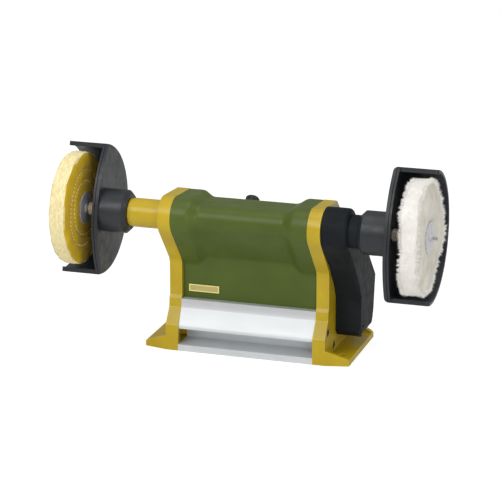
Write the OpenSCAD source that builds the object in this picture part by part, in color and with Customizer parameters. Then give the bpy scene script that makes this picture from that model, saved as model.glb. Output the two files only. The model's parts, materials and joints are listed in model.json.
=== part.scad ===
// Bench polishing machine: a belt driven spindle with a cloth buff and a half guard at each end.
// X runs along the spindle, the front is towards -Y, and Z = 0 is the bench.
// The origin is the middle of the four bench bolts.

/* [Base profile] */
// Depth of the base from front to back
base_depth = 96; // [90:1:110]
// Height of the aluminium base profile
base_h = 46; // [44:1:52]
// Thickness of the front clamping flange
flange_t = 6; // [4:0.5:8]
// Height of the top of the front groove
groove_top = 20.5; // [18:0.5:22]
// Depth of the front groove
groove_depth = 25; // [18:1:28]
// Distance of the lip above the groove behind the flange
lip_set = 1.9; // [0.5:0.1:3]
// Height of the lip's front face
lip_h = 3.6; // [2.5:0.1:5]
// Height of the crease between the slanted band and the top band
band_h = 38; // [34:1:40]
// Distance of that crease behind the flange
band_set = 10.4; // [9:0.1:11]
// Depth of the narrow ledge in front of the housing
ledge_w = 1.8; // [0.5:0.1:2]
// Wall thickness of the profile
profile_t = 2.6; // [2:0.1:3.2]
// Outer radius of the screw ports in the profile
port_r = 4; // [3.6:0.1:4.4]

/* [Body] */
// Distance between the two end plates
body_w = 126; // [120:1:150]
// Thickness of an end plate
plate_t = 11.6; // [10:0.2:14]
// Wall left at the bottom of an end plate's inner pocket
plate_web = 4; // [3:0.5:5]
// Width of the rim round an end plate's inner pocket
plate_rim = 4.4; // [4:0.2:6]
// Height of the spindle above the bench
spindle_h = 126; // [120:1:140]
// Distance of the spindle behind the front edge of the base
spindle_set = 2.2; // [1:0.2:5]
// Radius of the rounded nose in front of the spindle
nose_r = 18.2; // [17.6:0.1:20]
// Distance of the nose centre in front of the spindle
nose_fwd = 3.8; // [2:0.2:5]
// Height of the nose centre above the spindle
nose_up = 1; // [0:0.2:2]
// Distance of the upright front wall behind the base's front edge
front_wall_set = 12.9; // [12.4:0.1:14]
// Drop from the spindle to the top of the upright front wall
wall_drop = 44; // [40:0.5:47]
// Distance of the ridge behind the spindle
top_len = 34.3; // [30:0.1:37]
// Height of the ridge above the spindle
ridge_rise = 16.7; // [15:0.1:18]
// Drop from the spindle to the foot of the rear slope
slope_drop = 38; // [34:1:42]

/* [Housing] */
// Wall thickness of the green housing and its rear cover
wall = 2.5; // [2:0.1:3]
// Step from the end plates down to the housing's top and slopes
skin_step = 0.3; // [0.2:0.1:1]
// Distance of the housing's upright walls inside the end plates' edges
wall_step = 4.2; // [3:0.2:5]
// Width of each full size shoulder
shoulder_w = 13; // [12:0.5:16]
// Length over which a shoulder runs down to the waist
waist_blend = 12; // [8:1:16]
// How much slimmer the waist is than the shoulders
waist_inset = 5.5; // [4:0.5:7]
// Distance of the seam to the rear cover behind the waist's ridge
seam_set = 1.2; // [0.8:0.1:2]
// Width of the bare badge plate
badge_w = 28.4; // [20:0.2:32]
// Height of the bare badge plate
badge_h = 6.6; // [5:0.2:9]
// Thickness of the bare badge plate
badge_t = 0.8; // [0.5:0.1:1.2]
// Height of the badge plate's lower edge above the base profile
badge_rise = 6.5; // [4:0.5:12]
// Distance of the badge plate from the left end plate
badge_set = 5.6; // [5:0.2:12]

/* [Feet] */
// Length of a foot beyond its end plate
foot_l = 21; // [20:1:26]
// Thickness of a foot's floor
foot_t = 5; // [4:0.5:6]
// Inward taper of a foot at each outer corner
foot_taper = 5; // [4:0.5:8]
// Thickness of a foot's side walls
foot_rib_t = 4.5; // [3.5:0.5:6]
// Height of a foot's side walls at the end plate
foot_rib_in = 13.5; // [11:0.5:16]
// Height of a foot's side walls at the outer end
foot_rib_out = 6.5; // [6:0.5:9]
// Radius of a bench bolt hole
bench_hole_r = 3.25; // [2.75:0.25:4]
// Distance between the bench bolts from front to back
bench_dy = 56; // [44:1:64]
// Distance of the bench bolts outside the end plates
bench_out = 11; // [10:0.5:13]

/* [Spindle and necks] */
// Diameter of the spindle between its bearings
spindle_d = 10; // [9.5:0.5:11]
// Diameter of the spindle noses
nose_d = 8; // [7.6:0.2:8.4]
// Diameter of the bore that the spindle runs through
neck_bore_d = 14; // [12:0.5:15]
// Length of each neck between the end plate and the guard
neck_len = 32; // [30:0.5:40]
// Diameter of the left neck
neck_d = 26; // [25.5:0.5:30]
// Length of the left neck's wider root beside the end plate
neck_root_l = 4.5; // [3:0.5:8]
// Diameter of the collar beside the guard
collar_d = 25; // [24.5:0.1:25.5]
// Width of that collar
collar_w = 2.6; // [2:0.2:4]
// Width of the groove between neck and collar
collar_groove = 0.8; // [0.6:0.1:1.2]
// Diameter of the spigot that carries a guard
spigot_d = 24; // [23.5:0.1:24.2]
// Length of that spigot
spigot_l = 23.5; // [20:0.5:26]
// Outer diameter of a spindle bearing
bearing_d = 19; // [18:0.5:20]
// Width of a spindle bearing
bearing_w = 6; // [5:0.5:7]
// Thickness of a bearing ring
race_t = 1.4; // [1.2:0.1:1.6]
// Diameter of a bearing ball
ball_d = 3.1; // [2.8:0.1:3.2]
// Number of balls in a bearing
balls = 8; // [6:1:9]

/* [Belt drive] */
// Distance of the motor's axis in front of the body's back
motor_set = 32.8; // [32:0.1:35]
// Height of the motor's axis above the bench
motor_h = 48; // [46:1:52]
// Radius of the spindle pulley under the belt
spindle_pulley_r = 12.5; // [12:0.25:13]
// Radius of the motor pulley under the belt
motor_pulley_r = 6.25; // [6:0.25:7.5]
// Width of the drive belt
belt_w = 8; // [6:0.5:8.5]
// Thickness of the drive belt
belt_t = 1.6; // [1.2:0.1:2]
// Height of the pulley flanges above the belt seat
flange_h = 2.2; // [1.8:0.1:2.4]
// Thickness of a pulley flange
pulley_flange_t = 1.2; // [1:0.1:1.4]
// Radius of a pulley's hub
hub_r = 8; // [7:0.5:8.5]
// Gap between the right end plate and the pulley hubs
pulley_gap = 1.2; // [1:0.1:1.6]
// Length of a pulley's hub beside its inner flange
hub_l = 4; // [3.5:0.5:4.5]

/* [Belt cover] */
// Depth of the belt cover
cover_depth = 23; // [22:0.5:26]
// Radius of the belt cover's round top
cover_r = 20; // [19:0.1:21]
// Wall thickness of the belt cover
cover_t = 2.4; // [2:0.1:2.6]
// Distance of the cover's upright front wall behind the spindle
cover_front = 33; // [30:0.5:34]
// Distance of the cover's rearmost corner in front of the body's back
cover_back_set = 5.8; // [3:0.1:8]
// Rise from the motor's axis to the top of the cover's upright front wall
cover_front_rise = 6; // [4:0.5:8]
// Rise from the motor's axis to the cover's rearmost corner
cover_back_rise = 15; // [12:0.5:18]
// Height of the cover's lower edge above the bench
cover_low = 16.5; // [15:0.5:20]
// Radius of the cover's outer edge
cover_edge_r = 4; // [3:0.5:5]
// Diameter of the ring boss on the cover
ring_boss_d = 29.5; // [28:0.5:32]
// Length of the ring boss on the cover
ring_boss_l = 8.6; // [8:0.1:8.7]
// Radius of the right neck's inner flange
neck_flange_r = 16; // [14:0.5:16.5]
// Thickness of the right neck's inner flange
neck_flange_t = 2; // [1.5:0.1:2.2]

/* [Guards] */
// Outer radius of a guard
guard_r = 59; // [57:0.5:64]
// Depth of a guard's rim from its plate to its open side
guard_depth = 39.5; // [38:0.5:48]
// Thickness of a guard's plate
guard_plate_t = 3; // [2.5:0.1:3.5]
// Thickness of a guard's rim
guard_rim_t = 2.6; // [2:0.1:3.5]
// How far the front edge of a guard's plate bows forward
guard_bow = 21; // [20.5:0.5:26]
// Width of the bead along that front edge
guard_bead_w = 3; // [2:0.5:4]
// Height of that bead on the plate
guard_bead_h = 2.4; // [1.5:0.1:3]
// Diameter of a guard's boss
guard_boss_d = 39; // [36:0.5:41]
// Chamfer on the inner end of that boss
guard_boss_chamfer = 3.5; // [2:0.5:4]
// Thickness of the rim along its front edge
guard_lip_t = 4; // [3.5:0.1:5]
// Radius of the edge between a guard's plate and its rim
guard_edge_r = 3.5; // [2:0.5:4]
// Corner radius at the open ends of the rim
guard_corner_r = 3; // [2:1:8]
// Backward tilt of the left guard
left_tilt = 12.5; // [0:0.5:20]
// Backward tilt of the right guard
right_tilt = 13; // [0:0.5:20]
// Radius of a guard's lock screw
lock_r = 2; // [1.5:0.25:2.5]

/* [Wheels] */
// Diameter of the sewn left buff
left_buff_d = 101; // [90:1:104]
// Diameter of the loose right buff
right_buff_d = 103; // [90:1:104]
// Width of a buff
buff_w = 15; // [12:1:18]
// Distance of a buff beyond the end of its neck
buff_out = 21; // [20:0.5:24]
// Depth of the stitching channels in the sewn buff
stitch_depth = 0.7; // [0.3:0.1:1.2]
// Diameter of a buff's clamping washers
washer_d = 29; // [24:1:32]
// Thickness of a clamping washer
washer_t = 1.5; // [1:0.1:2]
// Diameter of an arbor
arbor_d = 5; // [4:0.2:5.4]
// Diameter of the threaded tip of an arbor
tip_d = 3; // [2.4:0.2:3.6]
// Length of that tip
tip_l = 8; // [6:0.2:9]
// Diameter of the ridged nut that holds an arbor
arbor_nut_d = 11; // [10.4:0.2:12]
// Length of that nut
arbor_nut_l = 12; // [10:0.5:13]

/* [Motor] */
// Outer diameter of the motor can
can_d = 45; // [42:0.5:46]
// Length of the motor can
can_l = 62; // [56:1:66]
// Wall thickness of the motor can
can_t = 2; // [1.5:0.1:2.5]
// Length of the motor's front end bell
front_bell_l = 13; // [12:0.5:15]
// Length of the motor's rear end bell
rear_bell_l = 15; // [14:0.5:17]
// Diameter of the motor shaft
motor_shaft_d = 6; // [5:0.25:6.5]
// Thickness of the motor magnets
magnet_t = 4; // [3:0.25:4.5]
// Air gap between magnets and armature
air_gap = 0.6; // [0.4:0.1:1]
// Number of armature slots
slots = 8; // [6:1:10]

/* [Controls] */
// Radius of the speed knob
knob_r = 6.25; // [6:0.25:7.5]
// Height of the speed knob
knob_h = 9; // [7:0.5:11]
// Distance of the speed knob left of the middle
knob_x = 8.5; // [8:0.5:14]
// Distance of the speed knob down the rear slope
knob_s = 15.5; // [14:0.5:18]
// Radius of the dial plate
dial_r = 11; // [9:0.5:11]
// Distance of the power switch right of the middle
switch_x = 11; // [11:0.5:16]
// Distance of the power switch down the rear slope
switch_s = 14; // [13:0.5:18]
// Width of the power switch
switch_w = 15; // [13:0.5:16]
// Length of the power switch
switch_l = 21; // [19:0.5:22]
// Tilt of the rocker at rest
rocker_tilt = 12; // [8:1:14]
// Radius of the mains cable's bush
bush_r = 7; // [6:0.25:8]
// Drop from the foot of the rear slope to the mains cable's bush
bush_drop = 20; // [16:1:24]

/* [Hidden] */

$fn = 64;
// Gap round parts that are pressed or screwed together
seat_gap = 0.03;
// Gap round parts that turn or slide in each other
run_gap = 0.08;
// Gap between parts that move past each other
pass_gap = 0.3;
// Gap round screws in clearance holes
screw_gap = 0.2;
// Gap at the blind end of a bore, and between ends that nothing presses together
end_gap = 0.2;
// Overlap that joins two shapes into one solid, and overrun of a cut
eps = 0.5;

base_front = -base_depth / 2;
base_back = base_depth / 2;
spindle_y = base_front + spindle_set;
motor_y = base_back - motor_set;
front_wall_y = base_front + front_wall_set;

// Distance of a guard's plate beyond the end of its spigot
guard_seat_gap = 0.9;
// Width of a circlip, how deep it sits in the spindle, and how far it stands out of it
clip_w = 0.8;
clip_bite = 0.45;
clip_out = 1.4;
// Share of an arbor nut's length that is screwed onto the spindle
nose_share = 0.55;
// Distance of an arbor's inner end behind its nut's end
arbor_set = 1.2;

// Stations along X on either side of the middle
plate_in = body_w / 2;
plate_out = plate_in + plate_t;
foot_out = plate_out + foot_l;
cover_out = plate_out + cover_depth;
guard_start = plate_out + neck_len;
neck_end = guard_start + spigot_l;
guard_in = neck_end + guard_seat_gap;
guard_out = guard_in + guard_depth;
bearing_in = neck_end - bearing_w - end_gap;
nut_in = guard_in + guard_plate_t + pass_gap;
nose_end = nut_in + nose_share * arbor_nut_l;
arbor_in = nut_in + arbor_set;
buff_in = neck_end + buff_out;
buff_end = buff_in + buff_w;

// Step from the left neck up to its root
neck_step = 0.4;

// Screws
plate_screw_r = 2;
housing_screw_r = 1.5;
screw_port = plate_screw_r + seat_gap;
head_h = 2.4;
head_ratio = 1.8;
socket_ratio = 0.9;
socket_deep = 1.2;
screw_grip = 9;

// The nose, the slanted wall under it and the rear slope, as points (Y, Z)
full_turn = 360;
nose_c = [spindle_y - nose_fwd, spindle_h + nose_up];
wall_top = [front_wall_y, spindle_h - wall_drop];
rise_a = atan2(nose_c[1] - wall_top[1], nose_c[0] - wall_top[0])
    + asin(nose_r / norm(nose_c - wall_top));
slope_top = [spindle_y + top_len, spindle_h + ridge_rise];
top_a = atan2(nose_c[1] - slope_top[1], nose_c[0] - slope_top[0]) + full_turn
    - asin(nose_r / norm(nose_c - slope_top));
slope_foot = [base_back, spindle_h - slope_drop];
slope_dir = unit(slope_foot - slope_top);
slope_out = [-slope_dir[1], slope_dir[0]];
slope_tilt = atan2(slope_out[0], slope_out[1]);
crease_r = 3;
arc_steps = 16;

function unit(v) = v / norm(v);
function turn(a) = [cos(a), sin(a)];
function cross2(a, b) = a[0] * b[1] - a[1] * b[0];
function meet(p, u, q, v) = p + u * cross2(q - p, v) / cross2(u, v);
function ease(t) = (1 - cos(180 * t)) / 2;
function arc(c, r, a0, a1, n) = [for (i = [0:n]) c + r * turn(a0 + (a1 - a0) * i / n)];

// Side view of the body: wall_in moves the upright walls inwards, round_in the rest
function body_outline(wall_in, round_in, low_z) =
    let (r = nose_r - round_in,
        rise = turn(rise_a),
        low = meet(nose_c + r * turn(rise_a + 90), rise, [front_wall_y + wall_in, 0], [0, 1]),
        slope_p = slope_top - round_in * slope_out,
        ridge = meet(slope_p, slope_dir, nose_c + r * turn(top_a - 90), turn(top_a)),
        heel = meet(slope_p, slope_dir, [base_back - wall_in, 0], [0, 1]))
    concat([[front_wall_y + wall_in, low_z], low - [0, crease_r], low + crease_r * rise],
        arc(nose_c, r, rise_a + 90, top_a - 90, arc_steps),
        [ridge, heel, [base_back - wall_in, low_z]]);

// The same outline, carried down over the base profile's front
plate_outline = concat([[base_front, 0], [base_front, groove_top + lip_h],
    [base_front + band_set, band_h]],
    [[front_wall_y - ledge_w, base_h]], body_outline(0, 0, base_h + 3), [[base_back, 0]]);

// A closed outline, listed clockwise, with every edge moved inwards by d
function inset(pts, d) = let (n = len(pts)) [for (i = [0:n - 1])
    let (a = pts[(i + n - 1) % n], b = pts[i], c = pts[(i + 1) % n],
        u = unit(b - a), v = unit(c - b),
        nu = [u[1], -u[0]], nv = [v[1], -v[0]])
    b + d * (nu + nv) / (1 + nu * nv)];

// Belt cover outline around the spindle and the lower pulley
spindle_c = [spindle_y, spindle_h];
cover_corner = 6;
cover_heel_h = 9;
cover_f = [spindle_y + cover_front, motor_h + cover_front_rise];
cover_b = [base_back - cover_back_set, motor_h + cover_back_rise];
cover_low_b = [cover_b[0] - cover_corner, cover_low + cover_heel_h];
motor_c = [motor_y, motor_h];
belt_dir = motor_c - spindle_c;
belt_front = unit([belt_dir[1], -belt_dir[0]]);
// Bends of the cover's front: share of the way to the motor, distance from the belt's middle
cover_bend = [for (b = [[0.65, 16], [0.34, 15.5]]) spindle_c + b[0] * belt_dir + b[1] * belt_front];
cover_a0 = atan2(spindle_c[1] - cover_bend[1][1], spindle_c[0] - cover_bend[1][0])
    + asin(cover_r / norm(spindle_c - cover_bend[1])) + 90;
cover_a1 = atan2(spindle_c[1] - cover_b[1], spindle_c[0] - cover_b[0])
    - asin(cover_r / norm(spindle_c - cover_b)) - 90;
cover_outline = concat([[cover_f[0] + cover_corner, cover_low], [cover_f[0], cover_low + cover_corner],
    cover_f], cover_bend, arc(spindle_c, cover_r, cover_a0, cover_a1, arc_steps),
    [cover_b, cover_low_b, [cover_low_b[0] - cover_corner, cover_low]]);

// Belt line at a distance off from the pulleys' belt seats
belt_a = atan2(belt_dir[1], belt_dir[0]);
belt_b = acos((spindle_pulley_r - motor_pulley_r) / norm(belt_dir));
belt_steps = 24;
function belt_line(off) = concat(
    arc(spindle_c, spindle_pulley_r + off, belt_a + belt_b, belt_a + 360 - belt_b, belt_steps),
    arc(motor_c, motor_pulley_r + off, belt_a - belt_b, belt_a + belt_b, belt_steps));

// Places on the belt side
hub_in = plate_out + pulley_gap;
flange_in = hub_in + hub_l;
belt_in = flange_in + pulley_flange_t + pass_gap;
pulley_end = belt_in + belt_w + pass_gap + pulley_flange_t;
cover_floor = cover_out - cover_t;
cover_screw_in = 9;
cover_screw_at = [[cover_f[0] + cover_screw_in, cover_low + cover_screw_in],
    cover_low_b - [cover_screw_in, 0], cover_b - [cover_screw_in, cover_screw_in - 3]];
cover_boss_r = 3.6;
cover_screw_r = 1.5;
cover_screw_sink = 0.4;
cover_edge_steps = 5;
// Slot near the cover's rear edge that lifts it off: width, height, depth and place
pry_w = 2.6;
pry_h = 14;
pry_deep = 1.2;
pry_at = [cover_low_b[0] - 4.6, cover_low + 6];

// Screw ports in the base profile, and screw bosses in the housing
// How far a port or boss sinks into the wall that carries it
port_bite = 0.6;
pad_rim = 1;
port_at = [[base_front + band_set + port_bite / 2, groove_top + profile_t + port_r + port_bite / 2],
    [base_front + groove_depth + profile_t + port_r - port_bite, foot_t + port_r + pad_rim],
    [base_back - profile_t - port_r + port_bite, foot_rib_in + port_r],
    [base_back - profile_t - port_r + port_bite, base_h - port_r - pad_rim]];
boss_r = 3.4;
boss_l = 11;
boss_deep = skin_step + wall + boss_r - port_bite;
wall_boss_deep = boss_deep + wall_step - skin_step;
nose_boss_a = 150;
front_boss_s = 13;
slope_boss_s = 34;
wall_boss_z = base_h + 22;
front_boss_at = [nose_c + (nose_r - boss_deep) * turn(nose_boss_a),
    wall_top + front_boss_s * turn(rise_a) + boss_deep * turn(rise_a - 90)];
rear_boss_at = [slope_top - boss_deep * slope_out + slope_boss_s * slope_dir,
    [base_back - wall_boss_deep, wall_boss_z]];
boss_at = concat(front_boss_at, rear_boss_at);

// Motor, measured from the right end plate's inner face towards -X
can_front = plate_in - front_bell_l;
can_back = can_front - can_l;
bell_back = can_back - rear_bell_l;
can_r = can_d / 2;
motor_shaft_r = motor_shaft_d / 2;
magnet_in_r = can_r - can_t - magnet_t;
magnet_end = 6;
magnet_a = 31;
core_r = magnet_in_r - air_gap;
core_in = can_back + 14;
core_l = 38;
fan_t = 1.2;
fan_l = 5;
fan_hub_r = motor_shaft_r + 2.5;
fan_blades = 8;
bush_l = 6;
motor_bush_r = 5;
bush_boss_r = motor_bush_r + 3;
bush_out = plate_out - 1;
register_l = 2;
register_t = 2;
register_r = can_r - can_t;
bell_floor = 4;
shaft_gap = 0.6;
motor_pad_r = 25;
motor_screw_off = 15;
spigot_pad_r = 13;
winding_l = 5;
winding_set = 1.5;
slot_at = 0.66 * core_r;
slot_r = 0.16 * core_r;
slot_mouth = 1.4;
winding_in_r = motor_shaft_r + 1.5;
commutator_r = 7;
commutator_in = can_back - 6;
commutator_l = 12;
bar_gap_w = 0.5;
bar_gap_deep = 0.8;
brush_w = 5;
cap_r = 0.75 * brush_w;
cap_h = 3.4;
cap_set = 2.8;
cap_slot_w = 0.8;
brush_x = can_back - 4;

// Board on its standoffs
board_x = -plate_in + 6;
board_l = 54;
board_y = base_front + groove_depth + 11;
board_w = base_depth - groove_depth - 22;
board_z = profile_t + 5;
board_t = 1.6;
standoff_r = 3;
board_hole_in = 3.6;
board_screw_r = 1.25;
board_head_h = 1.4;
board_screw_l = 4;
capacitor_r = 6;
capacitor_h = 16;
capacitor_at = [13, board_w / 2 + 4, 0];
choke = [12, 10, 9];
choke_at = [24, board_w / 2 - 6, 0];
heat_sink = [20, 3, 12];
heat_sink_at = [9, 4, 0];
terminal = [7, board_w - 18, 8];

// Controls on the rear slope
ridge_waist = meet(slope_top - waist_inset * slope_out, slope_dir,
    nose_c + (nose_r - waist_inset) * turn(top_a - 90), turn(top_a));
seam_y = ridge_waist[0] + seam_set;
pot_r = 8;
pot_l = 9;
pot_bush_r = 3.5;
knob_shaft_r = 3;
knob_floor = 1.3;
knob_chamfer = 1.2;
knob_recess = 2.2;
knob_top = 2;
knob_flutes = 12;
flute_r = 1;
mark_w = 0.8;
pot_floor = 3;
pot_bush_out = 1.6;
dial_t = 0.8;
bezel_h = 1.6;
switch_deep = 14;
switch_lip = 1;
well_wall = 1.4;
well_end = 1.8;
well_deep = 6;
pivot_z = 0.2;
pivot_r = 1;

module at_spindle() {
    translate([0, spindle_y, spindle_h]) children();
}

module at_motor() {
    translate([0, motor_y, motor_h]) children();
}

// Mirrors to the left side when side is -1
module on_side(side) {
    mirror([side < 0 ? 1 : 0, 0, 0]) children();
}

// A shape drawn as (Y, Z), drawn out along X
module along_x(x0, len) {
    translate([x0, 0, 0]) rotate([90, 0, 90]) linear_extrude(len) children();
}

module x_rod(x0, len, r) {
    translate([x0, 0, 0]) rotate([0, 90, 0]) cylinder(h = len, r = r);
}

module x_ring(x0, len, r_out, r_in) {
    difference() {
        x_rod(x0, len, r_out);
        x_rod(x0 - eps, len + 2 * eps, r_in);
    }
}

// A screw along X whose thread points to -X, with its head's outer face at x
module x_screw(x, shank, r) {
    difference() {
        x_rod(x - head_h, head_h, head_ratio * r);
        x_rod(x - socket_deep, socket_deep + eps, socket_ratio * r, $fn = 6);
    }
    x_rod(x - head_h - shank, shank + eps, r);
}

// A skin through outlines at stations along X, each given as [x, points]
module loft(rings) {
    n = len(rings[0][1]);
    m = len(rings);
    points = [for (ring = rings) for (p = ring[1]) [ring[0], p[0], p[1]]];
    sides = [for (i = [0:m - 2]) for (j = [0:n - 1])
        let (k = (j + 1) % n, a = i * n, b = a + n)
        each [[a + j, a + k, b + k], [a + j, b + k, b + j]]];
    polyhedron(points, concat(sides, [[for (j = [n - 1:-1:0]) j]],
        [[for (j = [0:n - 1]) (m - 1) * n + j]]));
}

// Puts children on the waist's rear slope, s down from the ridge, with Z outwards
module on_slope(x, s) {
    p = ridge_waist + s * slope_dir;
    translate([x, p[0], p[1]]) rotate([-slope_tilt, 0, 0]) children();
}

module profile_2d() {
    difference() {
        polygon([[base_front, 0], [base_front, flange_t],
            [base_front + groove_depth, flange_t], [base_front + groove_depth, groove_top],
            [base_front + lip_set, groove_top], [base_front + lip_set, groove_top + lip_h],
            [base_front + band_set, band_h], [front_wall_y - ledge_w, base_h],
            [base_back, base_h], [base_back, 0]]);
        difference() {
            polygon([[base_front + groove_depth + profile_t, profile_t],
                [base_front + groove_depth + profile_t, groove_top + profile_t],
                [base_front + lip_set + 1.4 * profile_t, groove_top + profile_t],
                [base_front + band_set + profile_t, band_h],
                [base_front + band_set + profile_t, base_h - profile_t],
                [front_wall_y + wall_step + wall, base_h - profile_t],
                [front_wall_y + wall_step + wall, base_h + eps],
                [base_back - wall_step - wall, base_h + eps],
                [base_back - wall_step - wall, base_h - profile_t],
                [base_back - profile_t, base_h - profile_t], [base_back - profile_t, profile_t]]);
            for (p = port_at) translate(p) circle(port_r);
            for (p = board_holes) translate([p[1] - standoff_r, 0])
                square([2 * standoff_r, profile_t]);
        }
        for (p = port_at) translate(p) circle(screw_port);
    }
}

board_holes = [for (x = [board_x + board_hole_in, board_x + board_l - board_hole_in])
    for (y = [board_y + board_hole_in, board_y + board_w - board_hole_in]) [x, y]];

module base_extrusion() color("silver") {
    difference() {
        union() {
            along_x(-plate_in, body_w) profile_2d();
            for (p = board_holes) translate([p[0], p[1], profile_t - eps])
                cylinder(h = board_z - profile_t + eps, r = standoff_r);
        }
        for (p = board_holes) translate([p[0], p[1], profile_t])
            cylinder(h = board_z, r = board_screw_r + seat_gap);
    }
}

rib_chamfer = 2;

// One side wall of a foot, following the taper of its edge
module foot_wall() {
    intersection() {
        linear_extrude(foot_rib_in) polygon([[plate_out - eps, base_front],
            [plate_out, base_front], [foot_out, base_front + foot_taper],
            [foot_out, base_front + foot_taper + foot_rib_t],
            [plate_out, base_front + foot_rib_t], [plate_out - eps, base_front + foot_rib_t]]);
        translate([0, base_front + base_depth / 2, 0]) rotate([90, 0, 0])
            linear_extrude(base_depth) polygon([[plate_out - eps, 0],
                [plate_out - eps, foot_rib_in], [plate_out, foot_rib_in],
                [foot_out - rib_chamfer, foot_rib_out], [foot_out, foot_rib_out - rib_chamfer],
                [foot_out, 0]]);
    }
}

module foot() {
    difference() {
        union() {
            linear_extrude(foot_t) polygon([[plate_out - eps, base_front],
                [plate_out, base_front], [foot_out, base_front + foot_taper],
                [foot_out, base_back - foot_taper], [plate_out, base_back],
                [plate_out - eps, base_back]]);
            foot_wall();
            mirror([0, 1, 0]) foot_wall();
        }
        for (s = [-1, 1]) translate([plate_out + bench_out, s * bench_dy / 2, -eps])
            cylinder(h = foot_t + 2 * eps, r = bench_hole_r);
    }
}

// The casting that both end plates share, drawn for the right side
module end_plate(pads) {
    difference() {
        union() {
            difference() {
                along_x(plate_in, plate_t) polygon(plate_outline);
                difference() {
                    along_x(plate_in - eps, plate_t - plate_web + eps)
                        polygon(inset(plate_outline, plate_rim));
                    for (p = port_at) at_yz(p) x_rod(plate_in - 2 * eps, plate_t, port_r + pad_rim);
                    for (p = boss_at) at_yz(p) x_rod(plate_in - 2 * eps, plate_t, boss_r + pad_rim);
                    at_spindle() x_rod(plate_in - 2 * eps, plate_t, spigot_pad_r);
                    for (p = pads) at_yz(p) x_rod(plate_in - 2 * eps, plate_t, motor_pad_r);
                }
            }
            foot();
        }
        for (p = port_at) at_yz(p) plate_screw_hole(plate_screw_r);
        for (p = boss_at) at_yz(p) plate_screw_hole(housing_screw_r);
        at_spindle() x_rod(plate_in - eps, plate_t + 2 * eps, neck_bore_d / 2);
    }
}

module at_yz(p) {
    translate([0, p[0], p[1]]) children();
}

module plate_screw_hole(r) {
    x_rod(plate_in - eps, plate_t + 2 * eps, r + screw_gap);
    x_rod(plate_out - head_h - seat_gap, head_h + eps, head_ratio * r + screw_gap);
}

// Spigot with its bearing pocket, from x0 to the neck's end
module bearing_spigot(x0) {
    difference() {
        x_rod(x0, neck_end - x0, spigot_d / 2);
        x_rod(x0 - eps, neck_end - x0 + 2 * eps, neck_bore_d / 2);
        x_rod(bearing_in, bearing_w + eps + 0.2, bearing_d / 2 + seat_gap);
    }
}

module left_end_plate() color([0.72, 0.62, 0.16]) on_side(-1) {
    end_plate([]);
    at_spindle() {
        x_ring(plate_out - eps, neck_len - collar_w - collar_groove + eps, neck_d / 2,
            neck_bore_d / 2);
        x_ring(plate_out - eps, neck_root_l + eps, neck_d / 2 + neck_step, neck_bore_d / 2);
        x_ring(guard_start - collar_w - pass_gap, collar_w, collar_d / 2, neck_bore_d / 2);
        bearing_spigot(plate_out - eps);
    }
}

module right_end_plate() color([0.72, 0.62, 0.16]) {
    difference() {
        end_plate([motor_c]);
        at_motor() {
            x_rod(plate_in - eps, plate_t + 2 * eps, bush_boss_r + seat_gap);
            for (s = [-1, 1]) translate([0, s * motor_screw_off, 0])
                plate_screw_hole(plate_screw_r);
        }
        for (p = cover_screw_at) at_yz(p)
            x_rod(plate_in - eps, plate_t + 2 * eps, cover_screw_r + seat_gap);
    }
}

// How far the waist's skin lies inside the shoulders at a distance x from the middle
shoulder_x = plate_in - shoulder_w;
blend_steps = 6;
half_stations = concat([[plate_in + eps, 0]],
    [for (i = [0:blend_steps]) [shoulder_x - waist_blend * i / blend_steps, ease(i / blend_steps)]]);
function skin_ring(x, t) = [x, body_outline(wall_step, skin_step + (waist_inset - skin_step) * t,
    base_h)];

module housing_skin() {
    intersection() {
        loft(concat([for (h = half_stations) skin_ring(-h[0], h[1])],
            [for (i = [blend_steps + 1:-1:0]) skin_ring(half_stations[i][0], half_stations[i][1])]));
        translate([-plate_in, -body_w, 0]) cube([2 * plate_in, 2 * body_w, 2 * spindle_h]);
    }
}

// The hollow inside the housing, wider behind each shoulder
module housing_hollow() {
    along_x(-plate_in - eps, body_w + 2 * eps)
        polygon(body_outline(wall_step + wall, waist_inset + wall, base_h - eps));
    for (s = [-1, 1]) on_side(s) along_x(shoulder_x + wall, shoulder_w)
        polygon(body_outline(wall_step + wall, skin_step + wall, base_h - eps));
}

module housing_boss(p) {
    for (s = [-1, 1]) on_side(s) at_yz(p)
        x_rod(plate_in - boss_l, boss_l, boss_r);
}

module housing_boss_hole(p) {
    for (s = [-1, 1]) on_side(s) at_yz(p)
        x_rod(plate_in - boss_l - eps, boss_l + 2 * eps, housing_screw_r + seat_gap);
}

module housing() color([0.33, 0.41, 0.16]) {
    difference() {
        union() {
            difference() {
                housing_skin();
                housing_hollow();
                translate([-body_w, seam_y, 0]) cube([2 * body_w, base_depth, 2 * spindle_h]);
            }
            for (p = front_boss_at) housing_boss(p);
        }
        for (p = front_boss_at) housing_boss_hole(p);
    }
}

module rear_cover() color([0.33, 0.41, 0.16]) {
    difference() {
        union() {
            difference() {
                housing_skin();
                housing_hollow();
                translate([-body_w, seam_y - 2 * base_depth, 0])
                    cube([2 * body_w, 2 * base_depth, 2 * spindle_h]);
            }
            for (p = rear_boss_at) housing_boss(p);
        }
        for (p = rear_boss_at) housing_boss_hole(p);
        on_slope(-knob_x, knob_s) translate([0, 0, -2 * wall])
            cylinder(h = 3 * wall, r = pot_bush_r + seat_gap);
        on_slope(switch_x, switch_s) cube([switch_w - 2 * switch_lip + 2 * seat_gap,
            switch_l - 2 * switch_lip + 2 * seat_gap, 4 * wall], center = true);
        at_bush() cylinder(h = 4 * wall, r = bush_neck_r + seat_gap, center = true);
        for (i = [0:vents - 1]) for (row = [0:1])
            translate([vent_x + i * vent_pitch, base_back - wall_step - 2 * wall,
                base_h + vent_z + row * (vent_h + vent_gap)])
            cube([vent_w, 3 * wall, vent_h]);
    }
}

// Two rows of vents behind the motor
vents = 7;
vent_x = 8;
vent_z = 8;
vent_pitch = 6;
vent_w = 2.4;
vent_h = 9;
vent_gap = 3;

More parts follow.
